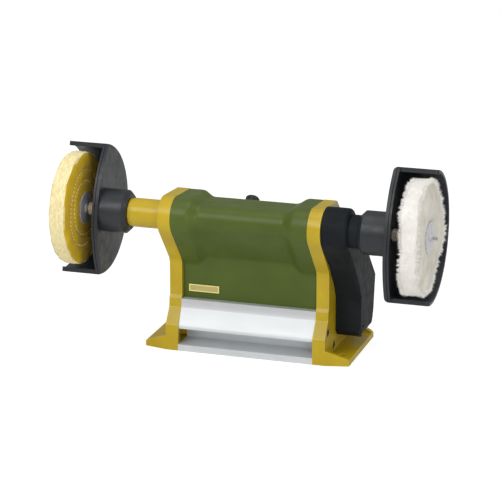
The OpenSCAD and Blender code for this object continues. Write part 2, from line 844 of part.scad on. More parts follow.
bush_neck_r = bush_r - 1.5;
bush_bore_r = bush_r - 3.5;
bush_flange_t = 3;
bush_collar_t = 2.5;

module at_bush() {
    translate([-plate_in / 2, base_back - wall_step, slope_foot[1] - bush_drop])
        rotate([-90, 0, 0]) children();
}

module badge_plate() color([0.85, 0.83, 0.55]) {
    translate([-plate_in + badge_set, front_wall_y + wall_step - badge_t, base_h + badge_rise])
        cube([badge_w, badge_t, badge_h]);
}

module plate_screws() color("dimgray") {
    for (s = [-1, 1]) on_side(s) for (p = port_at) at_yz(p)
        x_screw(plate_out - seat_gap, plate_t - head_h + screw_grip, plate_screw_r);
}

module housing_screws() color("dimgray") {
    for (s = [-1, 1]) on_side(s) for (p = boss_at) at_yz(p)
        x_screw(plate_out - seat_gap, plate_t - head_h + screw_grip, housing_screw_r);
}

// The cover as a full block: a prism whose outer edge is rounded
module cover_body() {
    along_x(plate_out, cover_depth - cover_edge_r) polygon(cover_outline);
    intersection() {
        loft(concat([[cover_out - 2 * cover_edge_r, cover_outline]],
            [for (i = [0:cover_edge_steps]) let (a = 90 * i / cover_edge_steps)
                [cover_out - cover_edge_r * (1 - sin(a)),
                inset(cover_outline, cover_edge_r * (1 - cos(a)))]],
            [[cover_out + eps, inset(cover_outline, cover_edge_r)]]));
        translate([cover_out - cover_edge_r - eps, -body_w, 0])
            cube([cover_edge_r + eps, 2 * body_w, 2 * spindle_h]);
    }
}

module belt_cover() color([0.13, 0.14, 0.16]) {
    difference() {
        union() {
            difference() {
                cover_body();
                along_x(plate_out - eps, cover_floor - plate_out + eps)
                    polygon(inset(cover_outline, cover_t));
            }
            for (p = cover_screw_at) at_yz(p)
                x_rod(plate_out, cover_floor - plate_out + eps, cover_boss_r);
            at_spindle() x_rod(cover_floor, cover_t + ring_boss_l, ring_boss_d / 2);
        }
        at_spindle() x_rod(cover_floor - eps, cover_t + ring_boss_l + 2 * eps,
            spigot_d / 2 + seat_gap);
        for (p = cover_screw_at) at_yz(p) {
            x_rod(plate_out - eps, cover_depth + 2 * eps, cover_screw_r + screw_gap);
            x_rod(cover_out - head_h - cover_screw_sink, head_h + eps,
                head_ratio * cover_screw_r + screw_gap);
        }
        at_yz(pry_at) translate([cover_out - pry_deep, 0, 0]) cube([2 * pry_deep, pry_w, pry_h]);
    }
}

module belt_cover_screws() color("dimgray") {
    for (p = cover_screw_at) at_yz(p)
        x_screw(cover_out - cover_screw_sink,
            cover_depth - head_h + plate_web - cover_screw_sink, cover_screw_r);
}

// Tube that carries the right bearing and the right guard, flanged inside the cover
module right_neck() color([0.2, 0.21, 0.23]) at_spindle() {
    bearing_spigot(cover_floor - neck_flange_t);
    x_ring(cover_floor - neck_flange_t, neck_flange_t, neck_flange_r, neck_bore_d / 2);
}

// Outer rings of both spindle bearings with their ball grooves
module spindle_bearings() color("silver") for (s = [-1, 1]) on_side(s) at_spindle() {
    difference() {
        x_ring(bearing_in, bearing_w, bearing_d / 2, bearing_d / 2 - race_t);
        ball_groove();
    }
}

ball_track_r = (bearing_d + nose_d) / 4;

module ball_groove() {
    translate([bearing_in + bearing_w / 2, 0, 0]) rotate([0, 90, 0])
        rotate_extrude() translate([ball_track_r, 0]) circle(ball_d / 2 + run_gap, $fn = 32);
}

module spindle_races() color("silver") for (s = [-1, 1]) on_side(s) at_spindle() {
    difference() {
        x_ring(bearing_in, bearing_w, nose_d / 2 + race_t, nose_d / 2 + seat_gap);
        ball_groove();
    }
}

module bearing_balls() color("silver") for (s = [-1, 1]) on_side(s) at_spindle() {
    for (i = [0:balls - 1]) rotate([i * 360 / balls, 0, 0])
        translate([bearing_in + bearing_w / 2, 0, ball_track_r]) sphere(d = ball_d, $fn = 24);
}

module drive_belt() color([0.12, 0.12, 0.12]) {
    along_x(belt_in, belt_w) difference() {
        polygon(belt_line(pass_gap + belt_t));
        polygon(belt_line(pass_gap));
    }
}

// A flanged pulley on a hub, seen from its hub side at x = hub_in
module pulley(seat_r, bore_r) {
    difference() {
        union() {
            x_rod(hub_in, pulley_end - hub_in, min(hub_r, seat_r));
            x_rod(flange_in, pulley_flange_t, seat_r + flange_h);
            x_rod(flange_in, pulley_end - flange_in, seat_r);
            x_rod(pulley_end - pulley_flange_t, pulley_flange_t, seat_r + flange_h);
        }
        x_rod(hub_in - eps, pulley_end - hub_in + 2 * eps, bore_r + seat_gap);
        translate([hub_in + hub_l / 2, 0, 0])
            cylinder(h = 2 * spindle_pulley_r, r = hub_screw_r + seat_gap, $fn = 32);
    }
}

hub_screw_r = 1.25;

module hub_screw(seat_r, bore_r) {
    translate([hub_in + hub_l / 2, 0, bore_r + 0.1])
        cylinder(h = min(hub_r, seat_r) - bore_r - 0.4, r = hub_screw_r, $fn = 32);
}

module spindle_pulley() color([0.6, 0.6, 0.62]) at_spindle()
    pulley(spindle_pulley_r, spindle_d / 2);

module pulley_screws() color("dimgray") at_spindle() hub_screw(spindle_pulley_r, spindle_d / 2);

module motor_pulley() color([0.6, 0.6, 0.62]) at_motor() pulley(motor_pulley_r, motor_shaft_r);

module motor_pulley_screw() color("dimgray") at_motor() hub_screw(motor_pulley_r, motor_shaft_r);

module spindle_shaft() color("silver") at_spindle() difference() {
    union() {
        x_rod(-bearing_in, 2 * bearing_in, spindle_d / 2);
        x_rod(-nose_end, 2 * nose_end, nose_d / 2);
    }
    for (s = [-1, 1]) on_side(s) {
        x_rod(arbor_in - end_gap, nose_end, arbor_d / 2 + seat_gap);
        x_ring(neck_end, clip_w + end_gap / 2, nose_d, nose_d / 2 - clip_bite - seat_gap);
    }
}

module spindle_circlips() color("dimgray") for (s = [-1, 1]) on_side(s) at_spindle()
    x_ring(neck_end + seat_gap, clip_w, nose_d / 2 + clip_out, nose_d / 2 - clip_bite);

// Ridged nut that clamps an arbor in the spindle's nose
module arbor_nut() {
    difference() {
        along_x(nut_in, arbor_nut_l) difference() {
            circle(arbor_nut_d / 2);
            for (i = [0:ridges - 1]) rotate(i * 360 / ridges)
                translate([arbor_nut_d / 2, 0]) circle(ridge_r, $fn = 16);
        }
        x_rod(nut_in - eps, nose_end - nut_in + eps + end_gap, nose_d / 2 + seat_gap);
        x_rod(nut_in, arbor_nut_l + eps, arbor_d / 2 + seat_gap);
    }
}

// Grooves between the ridges of an arbor nut
ridges = 18;
ridge_r = 0.5;

module arbor() {
    x_rod(arbor_in, buff_end - arbor_in, arbor_d / 2);
    x_rod(buff_end - eps, tip_l + eps, tip_d / 2);
}

// Small hub on the outside of each washer
hub_out = 1.2;
hub_wall = 2;

module inner_washer() {
    difference() {
        union() {
            x_rod(buff_in - washer_t, washer_t, washer_d / 2);
            x_rod(buff_in - washer_t - hub_out, hub_out + eps, arbor_d / 2 + hub_wall);
        }
        x_rod(buff_in - washer_t - 2 * hub_out, washer_t + 3 * hub_out, arbor_d / 2 + seat_gap);
    }
}

module outer_washer() {
    difference() {
        union() {
            x_rod(buff_end, washer_t, washer_d / 2);
            x_rod(buff_end + washer_t - eps, hub_out + eps, tip_d / 2 + hub_wall);
        }
        x_rod(buff_end - eps, washer_t + 3 * hub_out, tip_d / 2 + seat_gap);
    }
}

// Stitching of the sewn buff, as shares of its radius, and half the width of its channels
stitch_at = [0.5, 0.68];
stitch_w = 2;
// How far each buff's cloth swells beyond its clamped width, and how deep its edge is rounded
sewn_swell = 0.2;
loose_swell = 1.6;
buff_edge = 5;

// Half section of a sewn buff: flat faces, channels along the stitching and a soft edge
module sewn_buff(d) {
    rim = d / 2;
    half = buff_w / 2;
    face = concat([[arbor_d / 2 + seat_gap, half], [washer_d / 2 + 1, half]],
        [for (c = stitch_at) each [[c * rim - stitch_w, half + sewn_swell],
            [c * rim, half + sewn_swell - stitch_depth], [c * rim + stitch_w, half + sewn_swell]]],
        [[rim - 3, half - 0.4], [rim - 0.8, half - 2.2], [rim, half - buff_edge]]);
    back = [for (i = [len(face) - 1:-1:0]) [face[i][0], -face[i][1]]];
    buff_body(concat(face, back));
}

// Half section of a loose buff: pinched by the washers and spread towards its edge
module loose_buff(d) {
    rim = d / 2;
    half = buff_w / 2;
    face = [[arbor_d / 2 + seat_gap, half], [washer_d / 2 + 0.6, half],
        [washer_d / 2 + buff_edge, half + 0.75 * loose_swell], [0.7 * rim, half + loose_swell],
        [rim - buff_edge, half + loose_swell / 2], [rim - 1.5, half - 1.5], [rim, half - buff_edge]];
    back = [for (i = [len(face) - 1:-1:0]) [face[i][0], -face[i][1]]];
    buff_body(concat(face, back));
}

module buff_body(section) {
    translate([buff_in + buff_w / 2, 0, 0]) rotate([0, 90, 0])
        rotate_extrude($fn = 96) polygon(section);
}

module left_arbor() color("silver") on_side(-1) at_spindle() arbor();
module right_arbor() color("silver") at_spindle() arbor();
module left_arbor_nut() color([0.55, 0.52, 0.45]) on_side(-1) at_spindle() arbor_nut();
module right_arbor_nut() color([0.55, 0.52, 0.45]) at_spindle() arbor_nut();
module left_inner_washer() color([0.6, 0.6, 0.63]) on_side(-1) at_spindle() inner_washer();
module right_inner_washer() color([0.6, 0.6, 0.63]) at_spindle() inner_washer();
module left_outer_washer() color([0.6, 0.6, 0.63]) on_side(-1) at_spindle() outer_washer();
module right_outer_washer() color([0.6, 0.6, 0.63]) at_spindle() outer_washer();
module left_buff() color([0.85, 0.74, 0.35]) on_side(-1) at_spindle() sewn_buff(left_buff_d);
module right_buff() color([0.93, 0.92, 0.88]) at_spindle() loose_buff(right_buff_d);

module motor_can() color([0.35, 0.36, 0.38]) at_motor()
    x_ring(can_back, can_l, can_r, can_r - can_t);

module motor_front_bell() color([0.6, 0.6, 0.62]) at_motor() difference() {
    union() {
        x_rod(can_front, front_bell_l, can_r);
        x_rod(can_front - register_l, register_l + eps, register_r - seat_gap);
        x_rod(plate_in - eps, bush_out - plate_in + eps, bush_boss_r);
    }
    x_rod(can_front - register_l - eps, front_bell_l - bell_floor + eps, register_r - register_t);
    x_rod(can_front, front_bell_l + plate_t + eps, motor_shaft_r + shaft_gap);
    x_rod(bush_out - bush_l, bush_l + eps, motor_bush_r + seat_gap);
    for (s = [-1, 1]) translate([0, s * motor_screw_off, 0])
        x_rod(can_front - eps, front_bell_l + 2 * eps, screw_port);
}

module motor_rear_bell() color([0.15, 0.15, 0.16]) at_motor() difference() {
    union() {
        x_rod(bell_back, rear_bell_l, can_r);
        x_rod(can_back - eps, register_l + eps, register_r - seat_gap);
    }
    x_rod(bell_back + bell_floor, rear_bell_l + register_l, register_r - register_t);
    x_rod(bell_back - eps, bush_l + 2 * eps, motor_bush_r + seat_gap);
    for (s = [-1, 1]) translate([brush_x, 0, 0]) rotate([s * 90, 0, 0])
        cylinder(h = can_r + eps, r = cap_r + seat_gap);
}

module motor_magnets() color([0.25, 0.25, 0.27]) at_motor()
    along_x(can_back + magnet_end, can_l - 2 * magnet_end)
    for (s = [0, 180]) rotate(s + 90) difference() {
        intersection() {
            circle(can_r - can_t - seat_gap);
            polygon([[0, 0], 2 * can_r * turn(-magnet_a), 2 * can_r * turn(magnet_a)]);
        }
        circle(magnet_in_r);
    }

module motor_bushes() color([0.7, 0.55, 0.3]) at_motor() {
    x_ring(bush_out - bush_l, bush_l, motor_bush_r, motor_shaft_r + run_gap);
    x_ring(bell_back, bush_l, motor_bush_r, motor_shaft_r + run_gap);
}

module motor_screws() color("dimgray") at_motor() for (s = [-1, 1])
    translate([0, s * motor_screw_off, 0])
        x_screw(plate_out - seat_gap, plate_t - head_h + screw_grip, plate_screw_r);

module carbon_brushes() color([0.12, 0.12, 0.12]) at_motor() for (s = [-1, 1])
    translate([brush_x, 0, 0]) rotate([s * 90, 0, 0])
        translate([0, 0, commutator_r + pass_gap])
            linear_extrude(can_r - cap_set - end_gap - commutator_r - pass_gap)
                square(brush_w, center = true);

module brush_caps() color([0.1, 0.1, 0.1]) at_motor() for (s = [-1, 1])
    translate([brush_x, 0, 0]) rotate([s * 90, 0, 0])
        translate([0, 0, can_r - cap_set]) difference() {
            cylinder(h = cap_h, r = cap_r);
            translate([-brush_w, -cap_slot_w / 2, cap_h - cap_slot_w])
                cube([2 * brush_w, cap_slot_w, cap_h]);
        }

module motor_shaft() color("silver") at_motor()
    x_rod(bell_back + end_gap, pulley_end - bell_back, motor_shaft_r);

module armature_core() color([0.5, 0.5, 0.52]) at_motor() along_x(core_in, core_l) difference() {
    circle(core_r);
    circle(motor_shaft_r + seat_gap);
    for (i = [0:slots - 1]) rotate(i * 360 / slots) slot_2d();
}

// One armature slot: a keyhole, open at the core's rim
module slot_2d() {
    translate([slot_at, 0]) circle(slot_r, $fn = 24);
    translate([slot_at, -slot_mouth / 2]) square([core_r, slot_mouth]);
}

module armature_winding() color([0.72, 0.4, 0.2]) at_motor() {
    along_x(core_in - eps, core_l + 2 * eps) for (i = [0:slots - 1]) rotate(i * 360 / slots)
        translate([slot_at, 0]) circle(slot_r - 2 * seat_gap, $fn = 24);
    for (x = [core_in - winding_l - seat_gap, core_in + core_l + seat_gap])
        x_ring(x, winding_l, core_r - winding_set, winding_in_r);
}

module commutator() color([0.75, 0.5, 0.25]) at_motor() along_x(commutator_in, commutator_l)
    difference() {
        circle(commutator_r);
        circle(motor_shaft_r + seat_gap);
        for (i = [0:slots - 1]) rotate((i + 0.5) * 360 / slots)
            translate([commutator_r - bar_gap_deep, -bar_gap_w / 2])
                square([2 * bar_gap_deep, bar_gap_w]);
    }

module motor_fan() color([0.2, 0.2, 0.22]) at_motor() {
    fan_x = core_in + core_l + winding_l + 1;
    x_ring(fan_x, fan_t, core_r, motor_shaft_r + seat_gap);
    x_ring(fan_x, fan_l, fan_hub_r, motor_shaft_r + seat_gap);
    for (i = [0:fan_blades - 1]) rotate([i * 360 / fan_blades, 0, 0])
        translate([fan_x + fan_t / 2, -fan_t / 2, fan_hub_r - eps])
        cube([fan_l - fan_t / 2, fan_t, core_r - fan_hub_r]);
}

module control_board() color([0.1, 0.35, 0.15]) difference() {
    translate([board_x, board_y, board_z]) cube([board_l, board_w, board_t]);
    for (p = board_holes) translate([p[0], p[1], board_z - eps])
        cylinder(h = board_t + 2 * eps, r = board_screw_r + 0.15);
}

// Capacitor, choke, heat sink and terminal block, standing on the board
module board_parts() color([0.2, 0.25, 0.3]) translate([board_x, board_y, board_z + board_t]) {
    translate(capacitor_at) cylinder(h = capacitor_h, r = capacitor_r);
    translate(choke_at) cube(choke);
    translate(heat_sink_at) cube(heat_sink);
    translate([board_l - 2 * terminal[0], (board_w - terminal[1]) / 2, 0]) cube(terminal);
}

module board_screws() color("dimgray") for (p = board_holes)
    translate([p[0], p[1], board_z + board_t]) {
        cylinder(h = board_head_h, r = 2 * board_screw_r);
        translate([0, 0, -board_t - board_screw_l])
            cylinder(h = board_t + board_screw_l + eps, r = board_screw_r);
    }

module speed_potentiometer() color([0.3, 0.3, 0.32]) on_slope(-knob_x, knob_s) difference() {
    union() {
        translate([0, 0, -wall - pot_l]) cylinder(h = pot_l, r = pot_r);
        translate([0, 0, -wall - eps])
            cylinder(h = wall + eps + dial_t + pot_bush_out, r = pot_bush_r);
    }
    translate([0, 0, -wall - pot_l + pot_floor])
        cylinder(h = 3 * pot_l, r = knob_shaft_r + run_gap);
}

module knob_shaft() color("silver") on_slope(-knob_x, knob_s)
    translate([0, 0, -wall - pot_l + pot_floor + pass_gap])
        cylinder(h = wall + pot_l - pot_floor - pass_gap + knob_floor + knob_h - knob_top,
            r = knob_shaft_r);

module dial_plate() color([0.75, 0.75, 0.75]) on_slope(-knob_x, knob_s) {
    difference() {
        cylinder(h = dial_t, r = dial_r);
        translate([0, 0, -eps]) cylinder(h = dial_t + 2 * eps, r = pot_bush_r + seat_gap);
    }
}

module speed_knob() color([0.08, 0.08, 0.09]) on_slope(-knob_x, knob_s)
    translate([0, 0, knob_floor]) difference() {
        union() {
            cylinder(h = knob_h - knob_chamfer, r = knob_r);
            translate([0, 0, knob_h - knob_chamfer])
                cylinder(h = knob_chamfer, r1 = knob_r, r2 = knob_r - knob_chamfer);
        }
        translate([0, 0, -eps]) cylinder(h = knob_recess + eps, r = pot_bush_r + 2 * pass_gap);
        cylinder(h = knob_h - knob_top + end_gap, r = knob_shaft_r + seat_gap);
        for (i = [0:knob_flutes - 1]) rotate(i * 360 / knob_flutes)
            translate([knob_r + flute_r / 2, 0, knob_chamfer])
            cylinder(h = knob_h, r = flute_r, $fn = 24);
        translate([-mark_w / 2, -knob_r, knob_h - mark_w / 2]) cube([mark_w, knob_r - mark_w, mark_w]);
    }

// Frame of the power switch with the well that its rocker tips in
module switch_frame() color([0.1, 0.1, 0.11]) on_slope(switch_x, switch_s) difference() {
    union() {
        translate([-switch_w / 2, -switch_l / 2, 0]) cube([switch_w, switch_l, bezel_h]);
        translate([-switch_w / 2 + switch_lip, -switch_l / 2 + switch_lip, -wall - switch_deep])
            cube([switch_w - 2 * switch_lip, switch_l - 2 * switch_lip, wall + switch_deep + eps]);
    }
    translate([-switch_w / 2 + well_wall, -switch_l / 2 + well_end, -well_deep])
        cube([switch_w - 2 * well_wall, switch_l - 2 * well_end, 2 * well_deep]);
    translate([0, 0, pivot_z]) x_rod(-switch_w / 2 + eps, switch_w - 2 * eps, pivot_r + run_gap);
}

module switch_rocker() color([0.8, 0.8, 0.74]) on_slope(switch_x, switch_s)
    translate([0, 0, pivot_z]) rotate([rocker_tilt, 0, 0]) {
        half_l = switch_l / 2 - well_end - 1;
        half_w = switch_w / 2 - well_wall - pass_gap;
        along_x(-half_w, 2 * half_w) polygon([[-half_l, 3.2], [0, 1.4], [half_l, 3.2],
            [half_l, -1], [2, -3.4], [-2, -3.4], [-half_l, -1]]);
        x_rod(-half_w - 2 * pass_gap, 2 * half_w + 4 * pass_gap, pivot_r);
    }

module cable_bush() color([0.08, 0.08, 0.08]) at_bush() difference() {
    union() {
        cylinder(h = bush_flange_t, r = bush_r);
        translate([0, 0, -wall - 1]) cylinder(h = wall + 1 + eps, r = bush_neck_r);
        translate([0, 0, -wall - bush_collar_t]) cylinder(h = bush_collar_t - seat_gap, r = bush_r);
    }
    translate([0, 0, -wall - bush_collar_t - eps])
        cylinder(h = wall + bush_collar_t + bush_flange_t + 2 * eps, r = bush_bore_r);
}

// A guard in its own turned frame, drawn for the right side
module guard() {
    difference() {
        union() {
            guard_shell();
            guard_bead();
            guard_lip();
            x_rod(guard_start + guard_boss_chamfer, guard_in - guard_start - guard_boss_chamfer + eps,
                guard_boss_d / 2);
            translate([guard_start, 0, 0]) rotate([0, 90, 0])
                cylinder(h = guard_boss_chamfer, r1 = guard_boss_d / 2 - guard_boss_chamfer,
                    r2 = guard_boss_d / 2);
        }
        for (s = [-1, 1]) scale([1, 1, s]) rim_corner_cut();
        x_rod(guard_start - eps, spigot_l + eps + pass_gap, spigot_d / 2 + run_gap);
        x_rod(guard_start, guard_depth, neck_bore_d / 2);
        translate([lock_x, 0, 0]) rotate([-90, 0, 0])
            cylinder(h = guard_boss_d, r = lock_r + seat_gap, $fn = 32);
    }
}

bow_r = (guard_r * guard_r + guard_bow * guard_bow) / (2 * guard_bow);

module bow_2d(inward) {
    translate([bow_r - guard_bow, 0]) circle(bow_r - inward, $fn = 128);
}

// Plate and half rim in one, turned from one section and cut to the bowed front edge
module guard_shell() {
    intersection() {
        difference() {
            rotate([0, 90, 0]) rotate_extrude($fn = 128) polygon(concat([[0, guard_in]],
                arc([guard_r - guard_edge_r, guard_in + guard_edge_r], guard_edge_r, -90, 0, 5),
                [[guard_r, guard_out], [guard_r - guard_rim_t, guard_out],
                [guard_r - guard_rim_t, guard_in + guard_plate_t], [0, guard_in + guard_plate_t]]));
            translate([guard_in + guard_plate_t, -2 * guard_r, -2 * guard_r])
                cube([guard_depth, 2 * guard_r, 4 * guard_r]);
        }
        along_x(guard_in, guard_depth) bow_2d(0);
    }
}

module guard_bead() {
    along_x(guard_in + guard_edge_r, guard_plate_t + guard_bead_h - guard_edge_r) difference() {
        intersection() {
            circle(guard_r - guard_rim_t / 2, $fn = 128);
            bow_2d(0);
        }
        bow_2d(guard_bead_w);
    }
}

module guard_lip() {
    along_x(guard_in + guard_plate_t, guard_depth - guard_plate_t) intersection() {
        difference() {
            circle(guard_r - guard_rim_t / 2, $fn = 128);
            circle(guard_r - guard_lip_t, $fn = 128);
        }
        translate([0, -guard_r]) square([guard_bead_w, 2 * guard_r]);
    }
}

lock_x = guard_start + 9;
lock_sink = 0.4;
lock_socket_deep = 2;
lock_l = guard_boss_d / 2 - spigot_d / 2 - pass_gap - lock_sink;

// What rounds off the open corner at the upper end of the rim
module rim_corner_cut() {
    difference() {
        translate([guard_out - guard_corner_r, -eps, guard_r / 2])
            cube([guard_corner_r + eps, guard_corner_r + eps, guard_r]);
        translate([guard_out - guard_corner_r, guard_corner_r, 0])
            cylinder(h = 2 * guard_r, r = guard_corner_r);
    }
}

module lock_screw() {
    translate([lock_x, spigot_d / 2 + pass_gap, 0]) rotate([-90, 0, 0]) difference() {
        cylinder(h = lock_l, r = lock_r, $fn = 32);
        translate([0, 0, lock_l - lock_socket_deep])
            cylinder(h = 2 * lock_socket_deep, r = lock_r * 0.55, $fn = 6);
    }
}

module tilted(side, tilt) {
    on_side(side) at_spindle() rotate([-tilt, 0, 0]) children();
}

module left_guard() color([0.14, 0.15, 0.17]) tilted(-1, left_tilt) guard();
module right_guard() color([0.14, 0.15, 0.17]) tilted(1, right_tilt) guard();
module left_guard_screw() color("dimgray") tilted(-1, left_tilt) lock_screw();
module right_guard_screw() color("dimgray") tilted(1, right_tilt) lock_screw();

base_extrusion();
left_end_plate();
right_end_plate();
housing();
rear_cover();
badge_plate();
plate_screws();
housing_screws();
belt_cover();
belt_cover_screws();
right_neck();
spindle_bearings();
bearing_balls();
drive_belt();
motor_can();
motor_front_bell();
motor_rear_bell();
motor_magnets();
motor_bushes();
motor_screws();
carbon_brushes();
brush_caps();
control_board();
board_parts();
board_screws();
speed_potentiometer();
dial_plate();
switch_frame();
cable_bush();
spindle_shaft();
spindle_pulley();
pulley_screws();
spindle_races();
spindle_circlips();
left_arbor();
left_arbor_nut();
left_inner_washer();
left_outer_washer();
left_buff();
right_arbor();
right_arbor_nut();
right_inner_washer();
right_outer_washer();
right_buff();
motor_shaft();
armature_core();
armature_winding();
commutator();
motor_fan();
motor_pulley();
motor_pulley_screw();
speed_knob();
knob_shaft();
switch_rocker();
left_guard();
left_guard_screw();
right_guard();
right_guard_screw();
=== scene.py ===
"""Looks of the bench polishing machine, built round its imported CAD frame."""
import json
import math

import bmesh
import bpy
import numpy as np
from mathutils import Matrix, Vector


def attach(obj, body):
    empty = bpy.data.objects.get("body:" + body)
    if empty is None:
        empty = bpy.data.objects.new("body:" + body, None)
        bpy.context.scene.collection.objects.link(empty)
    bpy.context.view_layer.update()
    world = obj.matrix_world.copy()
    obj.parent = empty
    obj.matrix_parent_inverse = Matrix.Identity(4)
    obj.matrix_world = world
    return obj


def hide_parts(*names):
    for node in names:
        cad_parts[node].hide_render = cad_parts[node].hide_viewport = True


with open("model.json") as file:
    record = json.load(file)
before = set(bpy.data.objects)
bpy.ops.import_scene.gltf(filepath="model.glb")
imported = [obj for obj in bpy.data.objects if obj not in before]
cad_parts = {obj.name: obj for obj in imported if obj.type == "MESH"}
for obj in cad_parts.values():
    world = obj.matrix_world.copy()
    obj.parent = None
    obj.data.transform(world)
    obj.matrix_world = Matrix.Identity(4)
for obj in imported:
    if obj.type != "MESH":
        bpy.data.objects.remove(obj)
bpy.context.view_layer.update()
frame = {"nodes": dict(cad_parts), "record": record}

SCENE = bpy.context.scene
NODES = frame["nodes"]
MM = 0.001
# Where the spindle's axis runs
SPIN_Y, SPIN_Z = -45.8 * MM, 126 * MM


def srgb(r, g, b):
    """An 8 bit display colour as the linear colour that a shader takes."""
    return tuple((c / 255 / 12.92) if c < 11 else ((c / 255 + 0.055) / 1.055) ** 2.4
                 for c in (r, g, b)) + (1.0,)


# Camera

PHOTO_PIXELS = 500
FOCAL_PIXELS = 2299.44
SENSOR = 36


def place_camera():
    """The photograph's own camera; the numbers come from a fit to its edges."""
    yaw, pitch = math.radians(17.666), math.radians(16.753)
    target, distance = Vector((0.00465, -0.0458, 0.10049)), 2.03178
    back = Vector((math.sin(yaw) * math.cos(pitch), -math.cos(yaw) * math.cos(pitch),
                   math.sin(pitch)))
    right = Vector((math.cos(yaw), math.sin(yaw), 0))
    turn = Matrix((right, back.cross(right), back)).transposed()
    camera = bpy.data.objects.new("camera", bpy.data.cameras.new("camera"))
    camera.data.sensor_width = SENSOR
    camera.data.lens = SENSOR * FOCAL_PIXELS / PHOTO_PIXELS
    camera.data.clip_end = 50
    camera.matrix_world = Matrix.Translation(target + distance * back) @ turn.to_4x4()
    SCENE.collection.objects.link(camera)
    SCENE.camera = camera


place_camera()


# Materials

class Look:
    """A Principled material with short ways to make and join nodes."""

    def __init__(self, name, rough=0.5, metal=0.0, **sockets):
        self.material = bpy.data.materials.new(name)
        self.material.use_nodes = True
        self.tree = self.material.node_tree
        self.shader = self.tree.nodes["Principled BSDF"]
        self.shader.inputs["Roughness"].default_value = rough
        self.shader.inputs["Metallic"].default_value = metal
        for socket, value in sockets.items():
            self.shader.inputs[socket.replace("_", " ")].default_value = value
        self.place = self.node("ShaderNodeTexCoord").outputs["Object"]
        self.height = None

    def node(self, kind, *links, **values):
        n = self.tree.nodes.new(kind)
        for k, v in values.items():
            if hasattr(n, k):
                setattr(n, k, v)
            else:
                n.inputs[k.replace("_", " ")].default_value = v
        for name, source in links:
            self.tree.links.new(source, n.inputs[name])
        return n

    def stretched(self, scale):
        return self.node("ShaderNodeMapping", ("Vector", self.place), Scale=scale).outputs[0]

    def noise(self, size, detail=3.0, stretch=None, rough=0.5):
        """Noise whose features are about size metres across."""
        place = self.stretched(stretch) if stretch else self.place
        return self.node("ShaderNodeTexNoise", ("Vector", place), Scale=0.5 / size,
                         Detail=detail, Roughness=rough).outputs["Fac"]

    def ramp(self, value, *stops):
        n = self.node("ShaderNodeValToRGB", ("Fac", value))
        while len(n.color_ramp.elements) < len(stops):
            n.color_ramp.elements.new(0.5)
        for element, (at, colour) in zip(n.color_ramp.elements, stops):
            element.position, element.color = at, colour
        return n.outputs["Color"]

    def span(self, value, low, high, to_low, to_high):
        n = self.node("ShaderNodeMapRange", ("Value", value))
        for i, v in enumerate((low, high, to_low, to_high)):
            n.inputs[i + 1].default_value = v
        return n.outputs[0]

    def mix(self, factor, a, b):
        """Mixes colours; a and b are sockets or plain colours."""
        n = self.node("ShaderNodeMix", data_type="RGBA")
        self.tree.links.new(factor, n.inputs[0])
        for i, c in ((6, a), (7, b)):
            if isinstance(c, tuple):
                n.inputs[i].default_value = c
            else:
                self.tree.links.new(c, n.inputs[i])
        return n.outputs[2]

    def colour(self, socket):
        self.tree.links.new(socket, self.shader.inputs["Base Color"])
        return self

    def gloss(self, value, low, high):
        self.tree.links.new(self.span(value, 0.3, 0.7, low, high), self.shader.inputs["Roughness"])
        return self

    def bump(self, value, depth, strength=1.0):
        """Adds a bump of depth metres on top of those before."""
        n = self.node("ShaderNodeBump", ("Height", value), Distance=depth, Strength=strength)
        if self.height:
            self.tree.links.new(self.height, n.inputs["Normal"])
        self.height = n.outputs[0]
        self.tree.links.new(self.height, self.shader.inputs["Normal"])
        return self


def paint(name, dark, light, rough=0.34, shine=0.4):
    """Satin paint on a casting: soft patches, orange peel and a thin clear coat."""
    k = Look(name, rough, Specular_IOR_Level=shine, Coat_Weight=0.3 * shine, Coat_Roughness=0.2)
    k.colour(k.ramp(k.noise(0.018, 5), (0.3, dark), (0.7, light)))
    k.gloss(k.noise(0.006), rough - 0.05, rough + 0.09)
    k.bump(k.noise(0.0009, 2), 4e-5)
    return k.bump(k.noise(0.012, 2), 1.5e-4, 0.6)


def plastic(name, dark, light, rough=0.5, grain=0.00045, depth=5e-5, shine=0.45):
    """Moulded plastic with a fine eroded grain."""
    k = Look(name, rough, Specular_IOR_Level=shine)
    k.colour(k.ramp(k.noise(0.01, 6), (0.3, dark), (0.7, light)))
    k.gloss(k.noise(0.004, 4), rough - 0.07, rough + 0.08)
    return k.bump(k.noise(grain, 3, rough=0.6), depth)


def metal(name, dark, light, rough=0.35, stretch=None, grain=0.0004, depth=1.5e-5, bare=1.0):
    """Metal with tool marks along the axes that stretch draws out; bare is its metallic share."""
    k = Look(name, rough, bare)
    k.colour(k.ramp(k.noise(0.006, 5), (0.3, dark), (0.7, light)))
    k.gloss(k.noise(grain * 2, 4, stretch), rough - 0.1, rough + 0.12)
    return k.bump(k.noise(grain, 3, stretch), depth)


# Stretches that draw noise out along the spindle, round it, or into thin sheets across it
ALONG_X = (0.03, 1, 1)
ROUND_X = (1, 0.04, 0.04)
SHEETS_X = (1, 0.02, 0.02)

